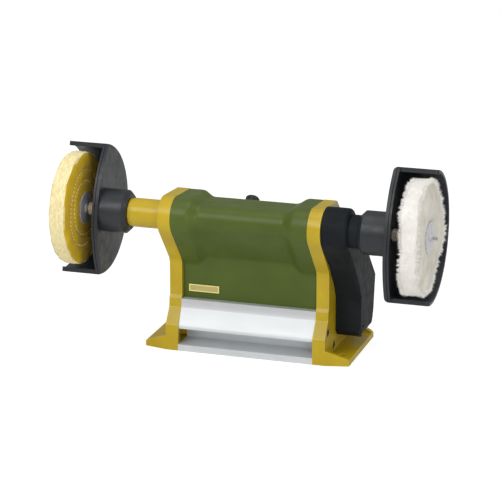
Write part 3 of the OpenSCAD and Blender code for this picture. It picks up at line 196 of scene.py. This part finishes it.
LOOKS = {
    "yellow": paint("yellow_paint", srgb(178, 150, 6), srgb(194, 166, 14)),
    "green": paint("green_paint", srgb(70, 86, 21), srgb(79, 95, 29), 0.44, 0.28),
    # Painted highlight: a paler yellow for the end plates' rounded edges, where they would catch
    # the light.
    "yellow_edge_highlight": paint("yellow_edge_highlight", srgb(206, 184, 58), srgb(224, 204, 84), 0.3),
    # Painted shade: near-black green for the housing's rounded edges, standing for the shadow in
    # the gaps beside the end plates.
    "seam": paint("seam_painted_shade", srgb(24, 29, 10), srgb(38, 46, 16), 0.6, 0.1),
    "charcoal": plastic("charcoal_plastic", srgb(31, 35, 39), srgb(40, 44, 48), 0.4, shine=0.42),
    "cover": plastic("cover_plastic", srgb(29, 32, 35), srgb(37, 40, 43), 0.45, shine=0.04),
    "neck": plastic("neck_paint", srgb(26, 30, 34), srgb(34, 38, 42), 0.4, shine=0.15),
    "steel": metal("ground_steel", srgb(176, 176, 178), srgb(200, 200, 202), 0.26, ROUND_X),
    "nickel": metal("nickel_plate", srgb(186, 178, 164), srgb(212, 206, 192), 0.34, ROUND_X,
                    bare=0.8),
    "dark_steel": metal("blackened_steel", srgb(52, 52, 54), srgb(74, 74, 78), 0.42),
    "worn_steel": metal("worn_black_steel", srgb(96, 96, 98), srgb(132, 132, 134), 0.34),
    "turned": metal("turned_aluminium", srgb(188, 188, 192), srgb(208, 208, 212), 0.33, ROUND_X),
    "rolled": metal("rolled_steel", srgb(120, 122, 128), srgb(146, 148, 152), 0.45, ALONG_X),
    "laminated": metal("laminated_core", srgb(110, 110, 114), srgb(140, 140, 144), 0.5, SHEETS_X),
    "cast": metal("die_cast_aluminium", srgb(160, 160, 164), srgb(182, 182, 186), 0.52),
    "bronze": metal("sintered_bronze", srgb(150, 112, 62), srgb(176, 136, 80), 0.48),
    "copper": metal("enamelled_copper", srgb(168, 92, 48), srgb(196, 116, 66), 0.3,
                    (0.06, 1, 1), 0.0008, 8e-5),
    "dial": metal("anodised_dial", srgb(172, 172, 174), srgb(196, 196, 198), 0.36),
    "black": plastic("black_plastic", srgb(22, 22, 24), srgb(34, 34, 36), 0.38, 0.0006, 3e-5),
    "ivory": plastic("ivory_plastic", srgb(196, 198, 186), srgb(212, 214, 204), 0.34, 0.0008, 2e-5),
    "rubber": plastic("belt_rubber", srgb(20, 20, 20), srgb(36, 36, 36), 0.72, 0.0005, 8e-5),
    "ferrite": plastic("ferrite", srgb(50, 50, 54), srgb(70, 70, 74), 0.6, 0.0008, 6e-5),
    "carbon": plastic("carbon", srgb(28, 28, 30), srgb(44, 44, 46), 0.55, 0.0006, 5e-5),
    "board": plastic("circuit_board", srgb(22, 78, 44), srgb(34, 98, 58), 0.36, 0.001, 3e-5),
    "parts": plastic("board_parts", srgb(36, 44, 58), srgb(58, 66, 82), 0.4, 0.001, 3e-5),
}


def galvanised(name, dark, light, bare):
    """Zinc plated sheet with its crystals; bare is its metallic share."""
    k = Look(name, 0.42, bare)
    cells = k.node("ShaderNodeTexVoronoi", ("Vector", k.place), Scale=900).outputs["Color"]
    bright = k.node("ShaderNodeSeparateColor", ("Color", cells)).outputs[0]
    k.colour(k.ramp(bright, (0.1, dark), (0.9, light)))
    k.gloss(k.noise(0.0015), 0.32, 0.55)
    return k.bump(bright, 2.5e-5)


def drawn(name, dark, light):
    """Drawn and anodised aluminium: faint die lines along the profile."""
    k = Look(name, 0.48, 0.42)
    k.colour(k.ramp(k.noise(0.02, 3), (0.3, dark), (0.7, light)))
    k.gloss(k.noise(0.0008, 4, ALONG_X), 0.45, 0.53)
    return k.bump(k.noise(0.0004, 3, ALONG_X), 5e-6)


LOOKS["profile"] = drawn("drawn_aluminium", srgb(214, 217, 219), srgb(220, 223, 225))
# Painted shade: a darker copy of the drawn aluminium for the profile's upright strip, which the
# lamps light less than the slope.
LOOKS["strip"] = drawn("drawn_aluminium_painted_shade", srgb(196, 197, 199), srgb(203, 204, 206))
# Painted shade: the left washers get a darker, duller copy of the zinc, for the shade they sit in.
LOOKS["zinc_painted_shade"] = galvanised("grey_zinc_painted_shade", srgb(146, 147, 151), srgb(190, 191, 195), 0.2)
LOOKS["zinc_light"] = galvanised("pale_zinc", srgb(190, 189, 193), srgb(218, 217, 220), 0.5)


def badge_look():
    """Pale satin plate with faint patches."""
    k = Look("badge", 0.36, Coat_Weight=0.4)
    k.colour(k.ramp(k.noise(0.004, 4), (0.3, srgb(176, 164, 96)), (0.7, srgb(190, 178, 110))))
    k.gloss(k.noise(0.002), 0.3, 0.44)
    return k.bump(k.noise(0.0006, 2), 2e-5)


LOOKS["badge"] = badge_look()
LOOKS["badge_edge"] = paint("badge_edge", srgb(240, 224, 128), srgb(248, 234, 146), 0.3)


def sewn_cotton():
    """Cream layered rim and dyed ochre faces; the mesh says how far each point is on a face."""
    k = Look("sewn_cotton", 0.9, Sheen_Weight=0.08, Sheen_Roughness=0.5, Specular_IOR_Level=0.1)
    side = k.node("ShaderNodeAttribute", attribute_name="side").outputs["Fac"]
    ragged = k.node("ShaderNodeMath", operation="ADD")
    k.tree.links.new(side, ragged.inputs[0])
    k.tree.links.new(k.span(k.noise(0.0022, 5), 0, 1, -0.3, 0.3), ragged.inputs[1])
    on_face = k.span(ragged.outputs[0], 0.42, 0.58, 0, 1)
    layers = k.noise(0.0008, 4, (1, 0.35, 0.35))
    rim = k.ramp(layers, (0.25, srgb(222, 202, 144)), (0.5, srgb(240, 227, 176)),
                 (0.75, srgb(250, 241, 202)))
    flecks = k.span(k.noise(0.0009, 2), 0.64, 0.72, 0, 0.5)
    rim = k.mix(flecks, rim, srgb(236, 208, 168))
    face = k.ramp(k.noise(0.012, 6), (0.3, srgb(186, 150, 8)), (0.55, srgb(208, 172, 18)),
                  (0.75, srgb(222, 190, 40)))
    k.colour(k.mix(on_face, rim, face))
    k.bump(layers, 1.6e-4)
    for way in ("Y", "Z"):
        weave = k.node("ShaderNodeTexWave", ("Vector", k.place), Scale=260, Distortion=1.5,
                       Detail=1, bands_direction=way).outputs["Fac"]
        k.bump(weave, 5e-5)
    return k.bump(k.noise(0.003, 4), 2.5e-4, 0.7)


def loose_cotton(name, dark, light, fold, flat, glow=0.0):
    """Bleached cotton with a woolly nap; glow stands for the light that passes its fibres."""
    k = Look(name, 0.95, Sheen_Weight=0.2, Sheen_Roughness=0.6, Specular_IOR_Level=0.1,
             Emission_Color=srgb(255, 251, 244), Emission_Strength=glow)
    side = k.node("ShaderNodeAttribute", attribute_name="side").outputs["Fac"]
    pale = k.ramp(k.noise(0.006, 6), (0.3, srgb(*dark)), (0.7, srgb(*light)))
    # Painted shade: the faces take random darker patches of the fold colour, standing for the shade
    # in their folds.
    fold_shade = k.ramp(k.noise(0.009, 5), (0.3, srgb(*fold)), (0.75, srgb(*flat)))
    k.colour(k.mix(side, pale, fold_shade))
    k.bump(k.noise(0.0008, 5, rough=0.7), 1.6e-4)
    return k.bump(k.noise(0.003, 4), 3e-4, 0.7)


LOOKS["sewn"] = sewn_cotton()
# The loose buff's fold colour is painted shade.
LOOKS["loose"] = loose_cotton("loose_cotton", (228, 225, 219), (241, 239, 235),
                              (188, 181, 164), (226, 222, 210), 0.02)
FRAYED = (240, 237, 231), (248, 246, 242)
LOOKS["fray"] = loose_cotton("frayed_cotton", *FRAYED, *FRAYED, 0.11)


def thread_look():
    """Pale waxed thread."""
    k = Look("stitching", 0.8, Sheen_Weight=0.3)
    k.colour(k.ramp(k.noise(0.001), (0.3, srgb(232, 216, 170)), (0.7, srgb(250, 242, 214))))
    return k.bump(k.noise(0.0003), 5e-5)


LOOKS["thread"] = thread_look()

WEARS = {
    "profile": ["base_extrusion"],
    "yellow": ["left_end_plate", "right_end_plate"],
    "green": ["housing", "rear_cover"],
    "cover": ["belt_cover"],
    "neck": ["right_neck"],
    "charcoal": ["left_guard", "right_guard"],
    "badge": ["badge_plate"],
    "worn_steel": ["plate_screws"],
    "dark_steel": ["housing_screws", "belt_cover_screws", "motor_screws", "board_screws",
                   "pulley_screws", "spindle_circlips", "motor_pulley_screw", "left_guard_screw",
                   "right_guard_screw"],
    "steel": ["spindle_bearings", "bearing_balls", "spindle_shaft", "spindle_races", "left_arbor",
              "right_arbor", "motor_shaft", "knob_shaft"],
    "nickel": ["left_arbor_nut", "right_arbor_nut"],
    # The left washers wear the zinc with painted shade.
    "zinc_painted_shade": ["left_inner_washer", "left_outer_washer"],
    "zinc_light": ["right_inner_washer", "right_outer_washer"],
    "turned": ["spindle_pulley", "motor_pulley"],
    "rubber": ["drive_belt"],
    "rolled": ["motor_can"],
    "laminated": ["armature_core"],
    "cast": ["motor_front_bell"],
    "black": ["motor_rear_bell", "brush_caps", "speed_potentiometer", "switch_frame",
              "speed_knob", "cable_bush", "motor_fan"],
    "ferrite": ["motor_magnets"],
    "bronze": ["motor_bushes"],
    "carbon": ["carbon_brushes"],
    "copper": ["armature_winding", "commutator"],
    "board": ["control_board"],
    "parts": ["board_parts"],
    "dial": ["dial_plate"],
    "ivory": ["switch_rocker"],
    "sewn": ["left_buff"],
    "loose": ["right_buff"],
}


def wear(piece, look):
    piece.data.materials.clear()
    piece.data.materials.append(LOOKS[look].material)


LOOK_OF = {name: look for look, names in WEARS.items() for name in names}
for name, look in LOOK_OF.items():
    wear(NODES[name], look)


# Pieces

BODY_OF = {n: b for b, ns in frame["record"]["behaviour"]["bodies"].items() for n in ns}


def add(name, mesh, look, node):
    """A new piece with the given look, on the body of a CAD node."""
    piece = bpy.data.objects.new(name, mesh)
    SCENE.collection.objects.link(piece)
    wear(piece, look)
    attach(piece, BODY_OF[node])
    return piece


def shade(mesh, angle=None):
    """Smooth shading; with angle, edges over that many degrees stay sharp."""
    mesh.polygons.foreach_set("use_smooth", [True] * len(mesh.polygons))
    if angle:
        mesh.set_sharp_from_angle(angle=math.radians(angle))


def finished(bm, name):
    """A new mesh from bm, which is freed."""
    mesh = bpy.data.meshes.new(name)
    bm.to_mesh(mesh)
    bm.free()
    return mesh


# Points of a CAD mesh that are closer together than this, in metres, are one point
MERGE = 2e-6


def rounded(node, width, segments=2, angle=38, crease=32, flat=0.6, edge=None, plain=None):
    """Stands for a CAD node with the same shape, its sharp edges rounded to width millimetres.

    Edges over angle degrees are rounded, those over crease stay sharp in the shading, and faces
    within flat degrees are joined first. With edge, the rounded edges get that look. Edges that
    lie between the two heights of plain stay as they are.
    """
    mesh = NODES[node].data.copy()
    bm = bmesh.new()
    bm.from_mesh(mesh)
    bmesh.ops.remove_doubles(bm, verts=bm.verts, dist=MERGE)
    if flat:
        bmesh.ops.dissolve_limit(bm, angle_limit=math.radians(flat), verts=bm.verts,
                                 edges=bm.edges)
    edges = [e for e in bm.edges if len(e.link_faces) == 2
             and e.calc_face_angle(0) > math.radians(angle)]
    if plain:
        edges = [e for e in edges
                 if not all(plain[0] < v.co.z < plain[1] for v in e.verts)]
    bevels = bmesh.ops.bevel(bm, geom=edges, offset=width * MM, segments=segments, profile=0.5,
                             affect="EDGES", clamp_overlap=True)
    bm.faces.index_update()
    painted_edge_faces = [f.index for f in bevels["faces"]]
    bm.to_mesh(mesh)
    bm.free()
    shade(mesh, crease)
    piece = add(node + "_shape", mesh, LOOK_OF[node], node)
    # The edge look paints light on the rounded edges: a painted highlight on the end plates,
    # painted shade on the housing.
    if edge:
        mesh.materials.append(LOOKS[edge].material)
        for i in painted_edge_faces:
            mesh.polygons[i].material_index = 1
    piece.modifiers.new("even", "WEIGHTED_NORMAL").keep_sharp = True
    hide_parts(node)
    return piece


# Heights at the front: the top of the profile's slope, the profile's top and the end plates'
# step; then the most that the y of an upright front face's normal comes to
BAND_TOP = 38 * MM
BASE_TOP = 46 * MM
STEP_TOP = 49.5 * MM
UPRIGHT = -0.9


def paint_strip_shade(profile):
    """Painted shade: the upright strip over the profile's slope gets a darker copy of the
    aluminium, for the shade it takes beside the lit slope.
    """
    profile.data.materials.append(LOOKS["strip"].material)
    for face in profile.data.polygons:
        if face.normal.y < UPRIGHT and BAND_TOP < face.center.z < BASE_TOP:
            face.material_index = 1


# The end plates' rounded edges take the painted highlight.
for name in ("left_end_plate", "right_end_plate"):
    rounded(name, 0.7, 3, angle=25, crease=15, flat=None, edge="yellow_edge_highlight",
            plain=(BASE_TOP - MM, STEP_TOP))
# The profile's upright strip takes painted shade.
paint_strip_shade(rounded("base_extrusion", 0.35, crease=15))
# The housing's rounded edges take the painted shade.
rounded("housing", 0.6, flat=0.05, edge="seam")
rounded("rear_cover", 0.4, flat=0.05)
rounded("left_guard", 0.8, 3)
rounded("right_guard", 0.8, 3)
rounded("belt_cover", 0.6, crease=15)
for name, width in (("right_neck", 0.3), ("speed_knob", 0.35), ("switch_frame", 0.3),
                    ("switch_rocker", 0.3), ("cable_bush", 0.3)):
    rounded(name, width)
for end in ("left", "right"):
    for name, width in (("arbor_nut", 0.25), ("inner_washer", 0.2), ("outer_washer", 0.2)):
        rounded(f"{end}_{name}", width)


def badge_frame():
    """The badge plate's raised pale border."""
    corners = [NODES["badge_plate"].matrix_world @ Vector(c)
               for c in NODES["badge_plate"].bound_box]
    low = Vector([min(c[i] for c in corners) for i in range(3)])
    high = Vector([max(c[i] for c in corners) for i in range(3)])
    rise, border = 0.25 * MM, 0.9 * MM
    outer, inner = ([(low.x + inset, low.z + inset), (high.x - inset, low.z + inset),
                     (high.x - inset, high.z - inset), (low.x + inset, high.z - inset)]
                    for inset in (0, border))
    bm = bmesh.new()
    rings = [[bm.verts.new((x, y, z)) for x, z in ring]
             for y in (low.y - rise, low.y + rise) for ring in (outer, inner)]
    for i in range(4):
        n = (i + 1) % 4
        for a, b in ((0, 1), (1, 3), (3, 2), (2, 0)):
            bm.faces.new((rings[a][i], rings[a][n], rings[b][n], rings[b][i]))
    bmesh.ops.recalc_face_normals(bm, faces=bm.faces)
    add("badge_frame", finished(bm, "badge_frame"), "badge_edge", "badge_plate")


badge_frame()


# Buffs

def ring_points(x, r, angle):
    """Points at x along the spindle, r from its axis, angle from straight up towards the back."""
    return np.stack([x, SPIN_Y + r * np.sin(angle), SPIN_Z + r * np.cos(angle)], -1)


def grid_mesh(name, points, side):
    """A closed skin over a grid of points that wraps round both ways; side goes to the look."""
    rows, cols = points.shape[:2]
    index = np.arange(rows * cols).reshape(rows, cols)
    right, down = np.roll(index, -1, 1), np.roll(index, -1, 0)
    faces = np.stack([index, right, np.roll(right, -1, 0), down], -1).reshape(-1, 4)
    mesh = bpy.data.meshes.new(name)
    mesh.from_pydata(points.reshape(-1, 3).tolist(), [], faces.tolist())
    mesh.attributes.new("side", "FLOAT", "POINT").data.foreach_set(
        "value", side.reshape(-1).astype(np.float32))
    shade(mesh)
    mesh.update()
    return mesh


def revolved(x0, r0, turns):
    """A profile turned round the spindle: the angles, then x, r and angle of every point."""
    angle = np.linspace(0, 2 * math.pi, turns, endpoint=False)
    r, a = np.meshgrid(r0, angle, indexing="ij")
    x = np.meshgrid(x0, angle, indexing="ij")[0]
    return angle, x, r, a


def waves(rng, angle, count, low, high):
    """A smooth random curve round a circle, about -1 to 1: the sum of count sines, each with
    low or more but fewer than high waves."""
    total = np.zeros_like(angle)
    for _ in range(count):
        total += np.sin(angle * rng.integers(low, high) + rng.uniform(0, 2 * math.pi))
    return total / math.sqrt(count)


# Millimetres: how far along the spindle the buffs sit, their bore, the radius that the washers
# hold flat, half the sewn one's thickness, how far its faces swell past that and are pulled back
# in on a seam, and how wide a seam pulls
BUFF_X = 158.6
BORE = 2.6
HELD_R = 15
SEWN_HALF = 7.3
PUFF = 0.35
PINCH = 0.9
SEAM_WIDTH = 1.7
# The outer and inner ring of stitches: radius, then size, count and phase of each wobble
STITCH_RINGS = ((34.0, ((0.7, 2, 0.6), (0.5, 3, 2.1))),
                (25.0, ((0.8, 2, 3.0), (0.4, 5, 0.0))))
# Where the seam leaves the outer ring, and where it has reached the inner one
LINK = (math.radians(196), math.radians(248))


def stitch_radius(which, angle):
    """Radius in millimetres of a wandering ring of stitches."""
    radius, wobbles = STITCH_RINGS[which]
    return radius + sum(size * np.sin(count * angle + phase) for size, count, phase in wobbles)


def stitch_pinch(r, angle):
    """How far the stitches pull a face in: 1 on a seam, fading to 0 beside it."""
    gap = np.minimum(abs(r - stitch_radius(0, angle)), abs(r - stitch_radius(1, angle)))
    return np.exp(-(gap / SEAM_WIDTH) ** 2)


def sewn_buff():
    """Cloth discs sewn together: a layered rim, and faces pulled in along two rings of stitches."""
    rng = np.random.default_rng(11)
    rim, half, turns, layers = 50.3, SEWN_HALF, 360, 17
    face_r = np.concatenate([np.linspace(BORE, 16, 6), np.linspace(17, 48.6, 38),
                             [49.3, 49.8]])
    rim_x = np.linspace(half - 0.25, -half + 0.25, 6 * layers + 1)
    r0 = np.concatenate([face_r, np.full(len(rim_x), rim), face_r[::-1]])
    x0 = np.concatenate([np.full(len(face_r), half), rim_x, np.full(len(face_r), -half)])
    angle, x, r, a = revolved(x0, r0, turns)
    n = len(face_r)
    sign = np.where(x > 0, 1.0, -1.0)
    face = np.zeros(len(r0), bool)
    face[:n] = face[-n:] = True
    # Quilted faces with folds that run out from the washer, and thinner near the rim
    fold, thin_from, thinner = 0.4, 46.5, 1.1
    grow = np.clip((r - HELD_R) / 20, 0, 1)
    for rows in (slice(0, n), slice(len(r0) - n, len(r0))):
        folds = waves(rng, angle, 7, 3, 19)[None, :]
        drift = waves(rng, angle, 4, 2, 7)[None, :]
        shape = fold * folds * np.sin(r[rows] / 7 + 2 * drift) * grow[rows]
        x[rows] += sign[rows] * (shape + PUFF * grow[rows]
                                 - PINCH * stitch_pinch(r[rows], a[rows]))
        x[rows] -= sign[rows] * thinner * np.clip((r[rows] - thin_from) / 3.5, 0, 1) ** 2
    # Each layer of the rim ends at its own ragged radius
    uneven, ragged, bulge, corner, fall, sway, fuzz = 0.16, 0.2, 0.34, 2.2, 1.1, 0.45, 0.05
    body = slice(n, len(r0) - n)
    place = (half - x0[body]) / (2 * half) * layers
    layer = np.clip(place.astype(int), 0, layers - 1)
    inside = place - layer
    own = np.stack([rng.normal(0, uneven) + ragged * waves(rng, angle, 6, 4, 40)
                    for _ in range(layers)])
    ridge = bulge * (1 - (2 * inside - 1) ** 2)
    edge = np.clip(np.minimum(x0[body] + half, half - x0[body]) / corner, 0, 1)
    r[body] += own[layer] + ridge[:, None] - fall * (1 - edge[:, None]) ** 2
    r[body] += sway * waves(rng, angle, 4, 2, 6)[None, :]
    r[body] += rng.normal(0, fuzz, r[body].shape)
    # The dye covers the faces and reaches unevenly over the rim's corners; on the face that the
    # photograph shows it fades near the edge
    dye_edge, dye_wave, dye_fade = 50.4, 0.9, 1.6
    side = np.repeat(face.astype(float)[:, None], turns, 1)
    reach = 1.0 + 0.8 * waves(rng, angle, 6, 2, 14)[None, :]
    depth = np.minimum(half - x[body], half + x[body])
    side[body] = np.clip(1 - depth / np.clip(reach, 0.15, 3), 0, 1) * 0.9
    drift = dye_wave * waves(rng, angle, 6, 3, 17)[None, :]
    side[:n] = np.clip((dye_edge - r[:n] + drift) / dye_fade, 0, 1)
    mesh = grid_mesh("left_buff_cloth", ring_points((x - BUFF_X) * MM, r * MM, a), side)
    piece = add("left_buff_cloth", mesh, "sewn", "left_buff")
    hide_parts("left_buff")


def seam_path(step):
    """Places (radius, angle) every step millimetres, once round the outer ring, over the link
    and once round the inner ring."""
    places = []
    angle = LINK[0]
    while angle < LINK[1] + 4 * math.pi:
        t = min(max((angle - LINK[0] - 2 * math.pi) / (LINK[1] - LINK[0]), 0), 1)
        t = t * t * (3 - 2 * t)
        radius = (1 - t) * stitch_radius(0, angle) + t * stitch_radius(1, angle)
        places.append((radius, angle))
        angle += step / radius
    return places


def tube(bm, points, radii, sides=6):
    """A closed tapered tube through points."""
    points = [Vector(p) for p in points]
    rings = []
    for i, (p, radius) in enumerate(zip(points, radii)):
        along = (points[min(i + 1, len(points) - 1)] - points[max(i - 1, 0)]).normalized()
        u = along.orthogonal().normalized()
        v = along.cross(u)
        rings.append([bm.verts.new(p + radius * (math.cos(t) * u + math.sin(t) * v))
                      for t in (2 * math.pi * k / sides for k in range(sides))])
    for a, b in zip(rings, rings[1:]):
        for k in range(sides):
            bm.faces.new((a[k], a[(k + 1) % sides], b[(k + 1) % sides], b[k]))
    bm.faces.new(rings[0][::-1])
    bm.faces.new(rings[-1])


def stitches():
    """Short threads that lie on both faces of the sewn buff."""
    rng = np.random.default_rng(5)
    bm = bmesh.new()
    path = seam_path(0.65)
    # One stitch from end to end: how far it stands off the cloth, and how thick it is
    lift = [-0.25, 0.22, 0.34, 0.22, -0.25]
    radii = [radius * MM for radius in (0.14, 0.3, 0.35, 0.3, 0.14)]
    stray = 0.18
    for side, start in ((1, 0), (-1, 3)):
        surface = -BUFF_X + side * (SEWN_HALF + PUFF - PINCH)
        for i in range(start, len(path) - len(lift), len(lift) + 1):
            run = path[i:i + len(lift)]
            slip = rng.normal(0, stray)
            points = [ring_points(np.array((surface + side * up) * MM),
                                  np.array((r + slip) * MM), np.array(a))
                      for (r, a), up in zip(run, lift)]
            tube(bm, points, radii)
    mesh = finished(bm, "left_buff_stitches")
    shade(mesh, 60)
    add("left_buff_stitches", mesh, "thread", "left_buff")


def loose_buff():
    """A loose buff: a woolly mass of cloth discs whose edge flops and frays."""
    rng = np.random.default_rng(23)
    rim, half, turns, corner = 50.2, 7.4, 320, 1.6
    face_r = np.concatenate([np.linspace(BORE, HELD_R, 5), np.linspace(16.2, 49, 34)])
    bend = np.linspace(0, math.pi, 34)
    r0 = np.concatenate([face_r, rim - corner + corner * np.sin(bend) ** 0.5, face_r[::-1]])
    x0 = np.concatenate([np.full(len(face_r), half), half * np.cos(bend),
                         np.full(len(face_r), -half)])
    angle, x, r, a = revolved(x0, r0, turns)
    # Thicker half way out, with a flopping edge, folds on both faces and a lumpy, fuzzy rim
    thick_from, thicker, flopping, fold = 14.5, 1.5, 1.9, 0.8
    lumpy, tilting, ragged, fuzz_r, fuzz_x = 1.1, 0.8, 0.14, 0.12, 0.08
    out = np.clip((r - HELD_R) / 35, 0, 1)
    side_of = np.clip(x / half, -1, 1)
    flop = waves(rng, angle, 5, 2, 7)[None, :]
    swell = thicker * np.sin(math.pi * np.clip((r - thick_from) / 30, 0, 1)) * side_of
    x += swell + flopping * flop * out ** 2
    for sign in (-1, 1):
        folds = waves(rng, angle, 8, 4, 22)[None, :]
        twist = waves(rng, angle, 3, 2, 5)[None, :]
        x += np.clip(sign * side_of, 0, 1) * fold * folds * np.cos(r / 9 + twist) * out
    lumps = lumpy * waves(rng, angle, 6, 2, 9)[None, :]
    tilt = waves(rng, angle, 5, 2, 8)[None, :]
    r += out ** 3 * (lumps + tilting * tilt * side_of)
    r += out ** 3 * ragged * waves(rng, angle, 9, 20, 60)[None, :]
    r += out ** 2 * rng.normal(0, fuzz_r, r.shape)
    x += out * rng.normal(0, fuzz_x, x.shape)
    n = len(face_r) - 2
    side = np.zeros_like(r)
    side[:n] = side[-n:] = 1.0
    points = ring_points((BUFF_X + x) * MM, r * MM, a)
    piece = add("right_buff_cloth", grid_mesh("right_buff_cloth", points, side), "loose",
                "right_buff")
    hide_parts("right_buff")
    fray(points, len(face_r), rng)


STRAND_SIDES = 3


def strands(root, way, length, width, bend, rng):
    """Thin tapered strands, each of two rings of points and a tip, and the faces between them."""
    n = STRAND_SIDES
    curl = np.cross(way, rng.normal(0, 1, way.shape))
    curl /= np.linalg.norm(curl, axis=1, keepdims=True)
    flat = np.cross(way, curl)
    rings = []
    for t, share in ((-0.2, 1.0), (0.5, 0.8)):
        middle = root + way * length * t + curl * length * bend * t * t
        rings += [middle + share * width * (math.cos(a) * curl + math.sin(a) * flat)
                  for a in (2 * math.pi * k / n for k in range(n))]
    rings.append(root + way * length + curl * length * bend)
    first = (2 * n + 1) * np.arange(len(root))[:, None]
    sides = [first + [k, (k + 1) % n, n + (k + 1) % n, n + k] for k in range(n)]
    tips = [first + [n + k, n + (k + 1) % n, 2 * n] for k in range(n)]
    ends = [first + list(range(n))[::-1]]
    faces = np.concatenate(sides).tolist() + np.concatenate(tips + ends).tolist()
    return np.stack(rings, 1).reshape(-1, 3), faces


def fray(points, face_rows, rng):
    """A fine nap on the rim of the loose buff, and longer tufts that stand off it."""
    rows, cols = points.shape[:2]
    name = "right_buff_fray"
    bm = bmesh.new()
    # How far strands lean at random, fan out to the faces, scatter in a tuft, and bend
    lean, fan, scatter, bend = 0.4, 0.6, 0.16, 0.3
    # Count, strands in each, spread, shortest, longest, width, and least distance from the middle
    nap = (26000, 1, 0.45, 0.5, 1.5, 0.09, 0.0)
    tufts = (700, 16, 0.35, 1.4, 3.9, 0.11, 0.72)
    for count, per, spread, low, high, width, inmost in (nap, tufts):
        place = rng.uniform(inmost, 1.1, count) * rng.choice([-1, 1], count)
        row = np.round(rows / 2 + place * (rows / 2 - face_rows)).astype(int)
        col = rng.integers(0, cols, count)
        root = points[row, col]
        radial = (root - [0, SPIN_Y, SPIN_Z]) * [0, 1, 1]
        radial /= np.linalg.norm(radial, axis=1, keepdims=True)
        across = (row - rows / 2) / (rows / 2 - face_rows)
        way = radial + rng.normal(0, lean, (count, 3))
        way[:, 0] -= fan * across
        root, way = np.repeat(root, per, 0), np.repeat(way, per, 0)
        root = root + rng.normal(0, spread * MM, root.shape)
        way = way + rng.normal(0, scatter, way.shape)
        way /= np.linalg.norm(way, axis=1, keepdims=True)
        length = rng.uniform(low, high, (len(root), 1)) * MM
        verts, faces = strands(root, way, length, width * MM, bend, rng)
        part = bpy.data.meshes.new(name)
        part.from_pydata(verts.tolist(), [], faces)
        bm.from_mesh(part)
        bpy.data.meshes.remove(part)
    mesh = finished(bm, name)
    shade(mesh)
    add(name, mesh, "fray", "right_buff")


sewn_buff()
stitches()
loose_buff()


# Studio

MIDDLE = Vector((0, -0.02, 0.09))
FLOOR_HALF = 12.0
FLOOR_GLOW = 1.3
GLOW_SHARE = 0.62


def soft_lamp(name, place, size, power, shine):
    """A round lamp aimed at the middle of the machine; shine is its share in highlights."""
    data = bpy.data.lights.new(name, "AREA")
    data.shape, data.size, data.energy = "DISK", size, power
    data.specular_factor = shine
    lamp = bpy.data.objects.new(name, data)
    lamp.matrix_world = Matrix.Translation(place) @ (
        (Vector(place) - MIDDLE).to_track_quat("Z", "Y").to_matrix().to_4x4())
    SCENE.collection.objects.link(lamp)


def studio():
    """Soft lamps, a world that the camera sees as white, and a pale floor."""
    soft_lamp("key", (-0.7, -1.7, 1.5), 1.2, 18, 0.7)
    soft_lamp("top", (0.1, -0.1, 1.9), 1.4, 10, 0.25)
    soft_lamp("front", (1.0, -1.9, 0.6), 1.2, 9, 0.6)
    soft_lamp("right", (2.0, -0.2, 0.9), 1.0, 6, 0.2)
    world = bpy.data.worlds.new("studio")
    world.use_nodes = True
    tree = world.node_tree
    background = tree.nodes["Background"]
    path = tree.nodes.new("ShaderNodeLightPath")
    shown = tree.nodes.new("ShaderNodeMath")
    shown.operation = "MAXIMUM"
    tree.links.new(path.outputs["Is Camera Ray"], shown.inputs[0])
    tree.links.new(path.outputs["Is Transmission Ray"], shown.inputs[1])
    split = tree.nodes.new("ShaderNodeSeparateXYZ")
    tree.links.new(tree.nodes.new("ShaderNodeTexCoord").outputs["Generated"], split.inputs[0])
    height = tree.nodes.new("ShaderNodeMapRange")
    for name, value in (("From Min", -0.1), ("From Max", 0.8), ("To Min", 0.18), ("To Max", 0.54)):
        height.inputs[name].default_value = value
    tree.links.new(split.outputs["Z"], height.inputs["Value"])
    level = tree.nodes.new("ShaderNodeMapRange")
    tree.links.new(height.outputs[0], level.inputs["To Min"])
    tree.links.new(shown.outputs[0], level.inputs["Value"])
    tree.links.new(level.outputs[0], background.inputs["Strength"])
    background.inputs["Color"].default_value = (1, 1, 1, 1)
    SCENE.world = world

    mesh = bpy.data.meshes.new("floor")
    far = FLOOR_HALF
    mesh.from_pydata([(-far, -far, 0), (far, -far, 0), (far, far, 0), (-far, far, 0)], [],
                     [(0, 1, 2, 3)])
    floor = bpy.data.objects.new("floor", mesh)
    SCENE.collection.objects.link(floor)
    k = Look("floor", 0.9)
    k.colour(k.ramp(k.noise(0.4, 2), (0.3, (0.86, 0.86, 0.86, 1)), (0.7, (0.88, 0.88, 0.88, 1))))
    glow = k.node("ShaderNodeEmission", Color=(1, 1, 1, 1), Strength=FLOOR_GLOW)
    blend = k.node("ShaderNodeMixShader")
    eye = k.node("ShaderNodeLightPath").outputs["Is Camera Ray"]
    k.tree.links.new(k.span(eye, 0, 1, 0, GLOW_SHARE), blend.inputs[0])
    k.tree.links.new(k.shader.outputs[0], blend.inputs[1])
    k.tree.links.new(glow.outputs[0], blend.inputs[2])
    k.tree.links.new(blend.outputs[0], k.tree.nodes["Material Output"].inputs["Surface"])
    mesh.materials.append(k.material)


studio()
SCENE.view_settings.view_transform = "Standard"
